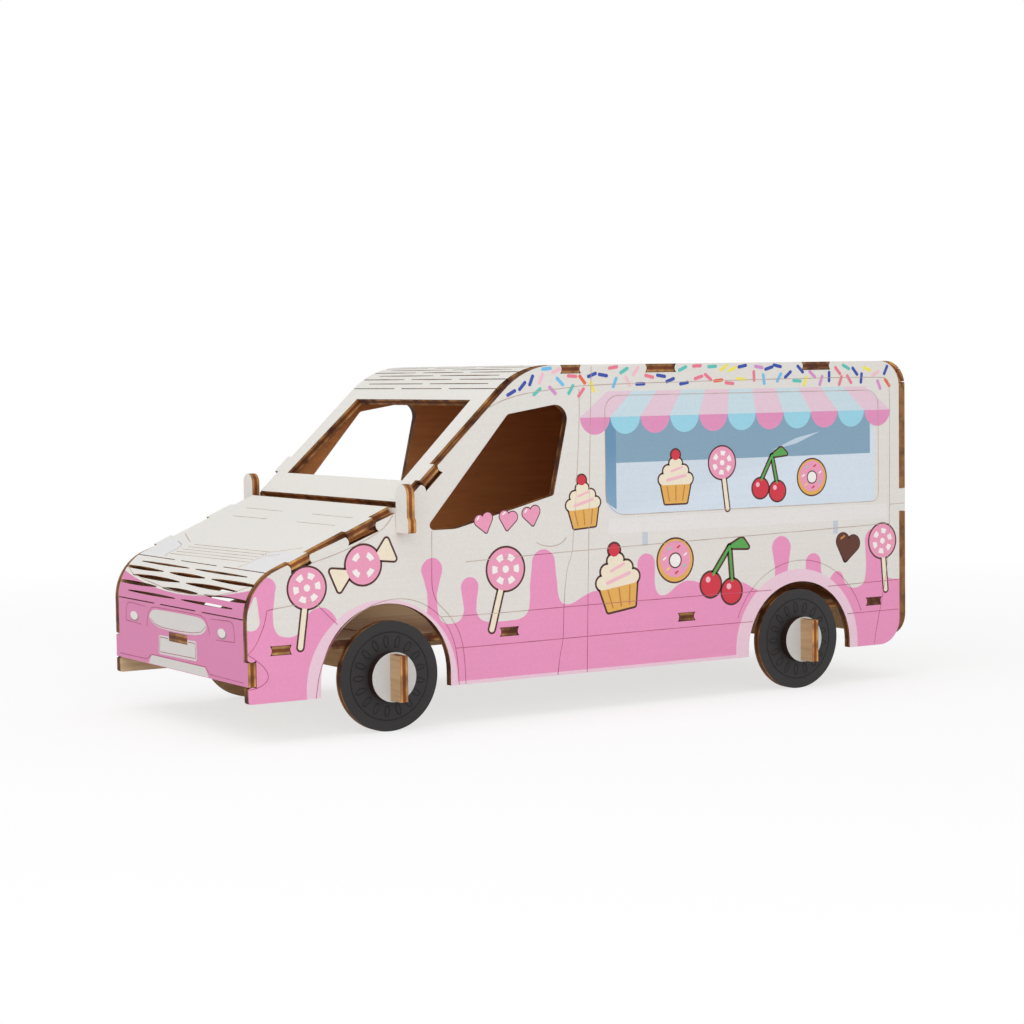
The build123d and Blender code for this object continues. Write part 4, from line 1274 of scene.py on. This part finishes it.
class VAN_OT_stage(bpy.types.Operator):
    """Pale floor, soft studio light and the camera"""

    bl_idname = "van.stage"
    bl_label = "Floor, light and camera"

    def execute(self, context):
        settings = context.scene.van_stage
        scene = context.scene
        scene.view_settings.view_transform = "Standard"
        mesh = bpy.data.meshes.new("studio_floor")
        corners = [(x * STUDIO_HALF, y * STUDIO_HALF, 0) for x, y in ((-1, -1), (1, -1), (1, 1), (-1, 1))]
        mesh.from_pydata(corners, [], [(0, 1, 2, 3)])
        floor = new_object("studio_floor", mesh)
        paint = Paint("studio_floor")
        back, across, _ = paint.place()
        away = ((reach(back - LENGTH / 2, across) - WHITE_FROM) / WHITE_OVER).clamp()
        lit, dim = (paint.add("ShaderNodeBsdfDiffuse", {0: (grey, grey, grey, 1)})[0] for grey in FLOOR_GREYS)
        glow, far = (paint.add("ShaderNodeEmission", {0: WHITE, 1: power})[0] for power in (FLOOR_GLOW, 1.0))
        near = paint.add("ShaderNodeAddShader", {0: dim, 1: glow})[0]
        lifted = paint.blend(away, near, far)
        paint.add("ShaderNodeOutputMaterial", {0: paint.blend(paint.seen(), lit, lifted)})
        mesh.materials.append(paint.material)

        world = bpy.data.worlds.new("studio")
        scene.world = world
        world.use_nodes = True
        sky = Graph(world.node_tree)
        fill, seen = (sky.add("ShaderNodeBackground", {0: WHITE, 1: power})[0] for power in (settings.fill, 1.0))
        sky.add("ShaderNodeOutputWorld", {0: sky.blend(sky.seen(), fill, seen)})

        for name, (place, size) in STUDIO_LAMPS.items():
            light = bpy.data.lights.new(name, "AREA")
            light.size = size
            light.energy = settings.key
            lamp = new_object(name, light)
            lamp.location = place
            lamp.rotation_euler = (LIT_POINT - Vector(place)).to_track_quat("-Z", "Y").to_euler()

        camera_data = bpy.data.cameras.new("camera")
        camera_data.lens = settings.lens
        camera_data.sensor_width = 36
        camera_data.clip_end = 50
        camera = new_object("camera", camera_data)
        right = CAMERA_DOWN.cross(CAMERA_FORWARD).normalized()
        turn = Matrix((right, right.cross(CAMERA_FORWARD), -CAMERA_FORWARD)).transposed()
        camera.matrix_world = Matrix.Translation(CAMERA_PLACE) @ turn.to_4x4()
        scene.camera = camera
        return {"FINISHED"}


class VAN_PT_panel(bpy.types.Panel):
    """The van's pieces in the sidebar"""

    bl_idname = "VAN_PT_panel"
    bl_label = "Plywood van"
    bl_space_type = "VIEW_3D"
    bl_region_type = "UI"
    bl_category = "Van"

    def draw(self, context):
        for operator in OPERATORS:
            self.layout.operator(operator.bl_idname)
        for name in SETTINGS:
            box = self.layout.box()
            group = getattr(context.scene, name)
            for setting in group.bl_rna.properties:
                if setting.identifier not in ("rna_type", "name"):
                    box.prop(group, setting.identifier)


OPERATORS = (
    VAN_OT_sides, VAN_OT_bent_sheets, VAN_OT_flat_sheets, VAN_OT_wheels, VAN_OT_burnt_lines, VAN_OT_tyre_marks,
    VAN_OT_sprinkles, VAN_OT_sweets, VAN_OT_nose_shapes, VAN_OT_stage,
)
SETTINGS = {"van_print": VanPrint, "van_wood": VanWood, "van_sweets": VanSweets, "van_stage": VanStage}


def register():
    for group in (*SETTINGS.values(), *OPERATORS, VAN_PT_panel):
        bpy.utils.register_class(group)
    for name, group in SETTINGS.items():
        setattr(bpy.types.Scene, name, bpy.props.PointerProperty(type=group))


def unregister():
    for name in SETTINGS:
        delattr(bpy.types.Scene, name)
    for group in (VAN_PT_panel, *reversed(OPERATORS), *reversed(SETTINGS.values())):
        bpy.utils.unregister_class(group)


def main():
    """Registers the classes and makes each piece."""
    register()
    bpy.ops.van.sides()
    bpy.ops.van.bent_sheets()
    bpy.ops.van.flat_sheets()
    bpy.ops.van.wheels()
    bpy.ops.van.burnt_lines()
    bpy.ops.van.tyre_marks()
    bpy.ops.van.sprinkles()
    bpy.ops.van.sweets()
    bpy.ops.van.nose_shapes()
    bpy.ops.van.stage()


if __name__ == "__main__":
    main()
